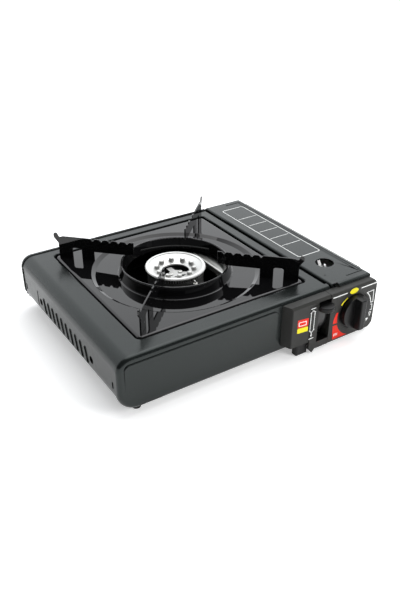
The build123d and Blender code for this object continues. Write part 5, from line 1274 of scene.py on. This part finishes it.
PATCH_RED = [(219.9, 42.4), (235.9, 40.9), (235.7, 51.6), (219.8, 53.2)]
PATCH_YELLOW = [(219.9, 35.2), (235.9, 33.8), (235.9, 40.3), (219.9, 41.8)]
PATCH_ROUND = 1.2
PATCH_FRAME = [(221.4, 44.2), (233.2, 43.1), (233.0, 48.8), (221.2, 50.0)]
PATCH_FRAME_WIDTH = 1.0
ARROW = [
    (241.2, 60.2), (236.6, 56.8), (238.0, 56.8), (238.0, 34.0), (236.8, 33.6),
    (241.2, 29.6), (245.6, 33.6), (244.4, 34.0), (244.4, 56.8), (245.8, 56.8),
]
ARROW_WIDTH = 0.9
ARROW_TAIL = (241.2, 30.0, 241.2, 26.4)
ARROW_TAIL_WIDTH = 1.0
ARROW_TIP = [(241.2, 24.2), (242.9, 27.0), (239.5, 27.0)]
ARROW_STOPS = ((237.6, 62.6, 244.8, 62.6), (237.6, 21.8, 244.8, 21.8))


class STOVE_OT_housing_marks(bpy.types.Operator):
    """Print the coloured patch and the two-way arrow on the lever housing"""

    bl_idname = "stove.housing_marks"
    bl_label = "Print Housing Marks"

    def execute(self, context):
        proud = context.scene.stove_edges.print_proud
        face = control_low.y
        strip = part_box("lever_housing")[0].y
        print_on_front("housing_red", [rounded_corners(PATCH_RED, PATCH_ROUND)], face, "print_red")
        print_on_front("housing_yellow", [rounded_corners(PATCH_YELLOW, PATCH_ROUND)], face, "print_yellow")
        patch_frame = outline_band(PATCH_FRAME, PATCH_FRAME_WIDTH)
        print_on_front("housing_frame", patch_frame, face - proud, "print_white")
        strokes = outline_band(ARROW, ARROW_WIDTH)
        strokes.append(bar(*ARROW_TAIL, ARROW_TAIL_WIDTH))
        strokes.append(ARROW_TIP)
        for ends in ARROW_STOPS:
            strokes.append(bar(*ends, ARROW_WIDTH))
        print_on_front("housing_arrow", strokes, strip, "print_white")
        return {"FINISHED"}


LID_TOP = 74.95 * MM
LID_BORDER = [(292.6, 74.6), (328.4, 74.6), (328.4, 245.0), (292.6, 245.0)]
LID_BORDER_ROUND = 4.0
LID_DIVIDERS = (112.0, 136.0, 160.0, 184.0, 208.0)
LID_DIVIDER_LEFT = 295.6
LID_DIVIDER_RIGHT = 325.4
LID_DIVIDER_SHARE = 0.8


class STOVE_OT_lid_marks(bpy.types.Operator):
    """Print a plain border and dividing lines on the lid"""

    bl_idname = "stove.lid_marks"
    bl_label = "Print Lid Border"

    def execute(self, context):
        line = context.scene.stove_edges.print_line / MM
        strokes = outline_band(rounded_corners(LID_BORDER, LID_BORDER_ROUND), line)
        for y in LID_DIVIDERS:
            strokes.append(bar(LID_DIVIDER_LEFT, y, LID_DIVIDER_RIGHT, y, line * LID_DIVIDER_SHARE))
        printed("lid_border", strokes, on_lid(LID_TOP), FACING_UP, FINISH["print_white"], "lid")
        return {"FINISHED"}


# Studio

CAMERA_PLACE = (-0.3900, -0.6076, 0.4614)
CAMERA_TURN = (math.radians(90.0 - 30.95), 0.0, math.radians(-32.93))
CAMERA_LENS = 40.33
CAMERA_SENSOR = 36.0
CAMERA_CLIP_END = 100.0
WHITE = (1.0, 1.0, 1.0, 1.0)
BACKDROP_TINT = (0.98, 1.0, 1.02, 1.0)
BACKDROP_FROM = -0.25
BACKDROP_FULL = 0.55
OVERHEAD_SIZE = 2.4
OVERHEAD_PLACE = (0.6, 0.3, 2.2)
FILL_SIZE = 1.1
FILL_PLACE = (1.2, -1.7, 1.0)


def studio_world(stage):
    """Bright backdrop behind the stove, a dim room on the near side, white to the camera."""
    world = bpy.data.worlds.new("studio")
    bpy.context.scene.world = world
    world.use_nodes = True
    tree = world.node_tree
    tree.nodes.clear()
    join = tree.links.new
    direction = tree.nodes.new("ShaderNodeTexCoord").outputs["Generated"]
    toward = tree.nodes.new("ShaderNodeVectorMath")
    toward.operation = "DOT_PRODUCT"
    turn = CAMERA_TURN[2]
    toward.inputs[1].default_value = (-math.sin(turn), math.cos(turn), 0.0)
    join(direction, toward.inputs[0])
    facing = tree.nodes.new("ShaderNodeMapRange")
    facing.interpolation_type = "SMOOTHSTEP"
    facing.inputs["From Min"].default_value = BACKDROP_FROM
    facing.inputs["From Max"].default_value = BACKDROP_FULL
    facing.inputs["To Min"].default_value = stage.room_level
    facing.inputs["To Max"].default_value = stage.backdrop_level
    join(toward.outputs["Value"], facing.inputs["Value"])
    glow = tree.nodes.new("ShaderNodeBackground")
    glow.inputs["Color"].default_value = BACKDROP_TINT
    join(facing.outputs["Result"], glow.inputs["Strength"])
    white = tree.nodes.new("ShaderNodeBackground")
    white.inputs["Color"].default_value = WHITE
    rays = tree.nodes.new("ShaderNodeLightPath")
    choose = tree.nodes.new("ShaderNodeMixShader")
    join(rays.outputs["Is Camera Ray"], choose.inputs["Fac"])
    join(glow.outputs["Background"], choose.inputs[1])
    join(white.outputs["Background"], choose.inputs[2])
    out = tree.nodes.new("ShaderNodeOutputWorld")
    join(choose.outputs["Shader"], out.inputs["Surface"])


def seen_rays(tree):
    """One for rays from the camera and for mirrored and passed ones, nought for light on other things."""
    rays = tree.nodes.new("ShaderNodeLightPath")
    total = rays.outputs["Is Camera Ray"]
    for kind in ("Is Glossy Ray", "Is Transmission Ray"):
        node = tree.nodes.new("ShaderNodeMath")
        node.operation = "MAXIMUM"
        tree.links.new(total, node.inputs[0])
        tree.links.new(rays.outputs[kind], node.inputs[1])
        total = node.outputs["Value"]
    return total


def floor_finish(stage):
    """Pale matt floor that keeps the stove's shadow and goes to white away from it."""
    skin = Shade("studio_floor_pale")
    skin.fix("Base Color", (*stage.floor_colour, 1.0))
    skin.fix("Roughness", 1.0)
    skin.fix("Specular IOR Level", 0.0)
    skin.fix("Emission Color", WHITE)
    glow = skin.tree.nodes.new("ShaderNodeMath")
    glow.operation = "MULTIPLY"
    glow.inputs[1].default_value = stage.floor_glow
    skin.tree.links.new(seen_rays(skin.tree), glow.inputs[0])
    skin.wear("Emission Strength", glow.outputs["Value"])
    return skin.material


def soft_lamp(name, size, power, place):
    """A square soft lamp that points at the stove's middle."""
    lamp = bpy.data.lights.new(name, "AREA")
    lamp.shape = "SQUARE"
    lamp.size = size
    lamp.energy = power
    obj = link(bpy.data.objects.new(name, lamp))
    obj.location = place
    aim = (cad_low + cad_high) / 2 - Vector(place)
    obj.rotation_euler = aim.to_track_quat("-Z", "Y").to_euler()
    return obj


class STOVE_OT_stage(bpy.types.Operator):
    """Set up the floor, the light and the camera"""

    bl_idname = "stove.stage"
    bl_label = "Set Stage"

    def execute(self, context):
        stage = context.scene.stove_stage
        half = stage.floor_size / 2
        mesh = bpy.data.meshes.new("studio_floor")
        corners = [(-half, -half, 0), (half, -half, 0), (half, half, 0), (-half, half, 0)]
        mesh.from_pydata(corners, [], [(0, 1, 2, 3)])
        floor = link(bpy.data.objects.new("studio_floor", mesh))
        mesh.materials.append(floor_finish(stage))
        studio_world(stage)
        soft_lamp("overhead_softbox", OVERHEAD_SIZE, stage.overhead_level, OVERHEAD_PLACE)
        fill = soft_lamp("fill_softbox", FILL_SIZE, stage.fill_level, FILL_PLACE)
        fill.visible_glossy = False
        lens = bpy.data.cameras.new("photo_camera")
        lens.lens = CAMERA_LENS
        lens.sensor_width = CAMERA_SENSOR
        lens.clip_end = CAMERA_CLIP_END
        camera = link(bpy.data.objects.new("photo_camera", lens))
        camera.location = CAMERA_PLACE
        camera.rotation_euler = CAMERA_TURN
        context.scene.camera = camera
        context.scene.view_settings.view_transform = "Standard"
        return {"FINISHED"}


class STOVE_PT_panel(bpy.types.Panel):
    """Sidebar panel that lists the stove's settings and steps"""

    bl_idname = "STOVE_PT_panel"
    bl_label = "Single Burner Gas Stove"
    bl_space_type = "VIEW_3D"
    bl_region_type = "UI"
    bl_category = "Stove"

    def draw(self, context):
        layout = self.layout
        for settings in (context.scene.stove_finish, context.scene.stove_edges, context.scene.stove_stage):
            box = layout.box()
            for key in settings.bl_rna.properties.keys():
                if key not in {"rna_type", "name"}:
                    box.prop(settings, key)
        for operator in STEPS:
            layout.operator(operator.bl_idname)


STEPS = (
    STOVE_OT_stage,
    STOVE_OT_finishes,
    STOVE_OT_case,
    STOVE_OT_vent_lips,
    STOVE_OT_lid,
    STOVE_OT_tray,
    STOVE_OT_burner,
    STOVE_OT_studs,
    STOVE_OT_prongs,
    STOVE_OT_screws,
    STOVE_OT_controls,
    STOVE_OT_gas_train,
    STOVE_OT_feet,
    STOVE_OT_control_marks,
    STOVE_OT_housing_marks,
    STOVE_OT_lid_marks,
)
SETTINGS = (StoveFinishSettings, StoveEdgeSettings, StoveStageSettings)


def register():
    """Register the settings, the steps and the panel."""
    for item in SETTINGS + STEPS + (STOVE_PT_panel,):
        bpy.utils.register_class(item)
    bpy.types.Scene.stove_finish = bpy.props.PointerProperty(type=StoveFinishSettings)
    bpy.types.Scene.stove_edges = bpy.props.PointerProperty(type=StoveEdgeSettings)
    bpy.types.Scene.stove_stage = bpy.props.PointerProperty(type=StoveStageSettings)


def unregister():
    """Undo what register did."""
    del bpy.types.Scene.stove_stage
    del bpy.types.Scene.stove_edges
    del bpy.types.Scene.stove_finish
    for item in reversed(SETTINGS + STEPS + (STOVE_PT_panel,)):
        bpy.utils.unregister_class(item)


def main():
    """Dress the stove step by step."""
    register()
    bpy.ops.stove.stage()
    bpy.ops.stove.finishes()
    bpy.ops.stove.case()
    bpy.ops.stove.vent_lips()
    bpy.ops.stove.lid()
    bpy.ops.stove.tray()
    bpy.ops.stove.burner()
    bpy.ops.stove.studs()
    bpy.ops.stove.prongs()
    bpy.ops.stove.screws()
    bpy.ops.stove.controls()
    bpy.ops.stove.gas_train()
    bpy.ops.stove.feet()
    bpy.ops.stove.control_marks()
    bpy.ops.stove.housing_marks()
    bpy.ops.stove.lid_marks()


if __name__ == "__main__":
    main()
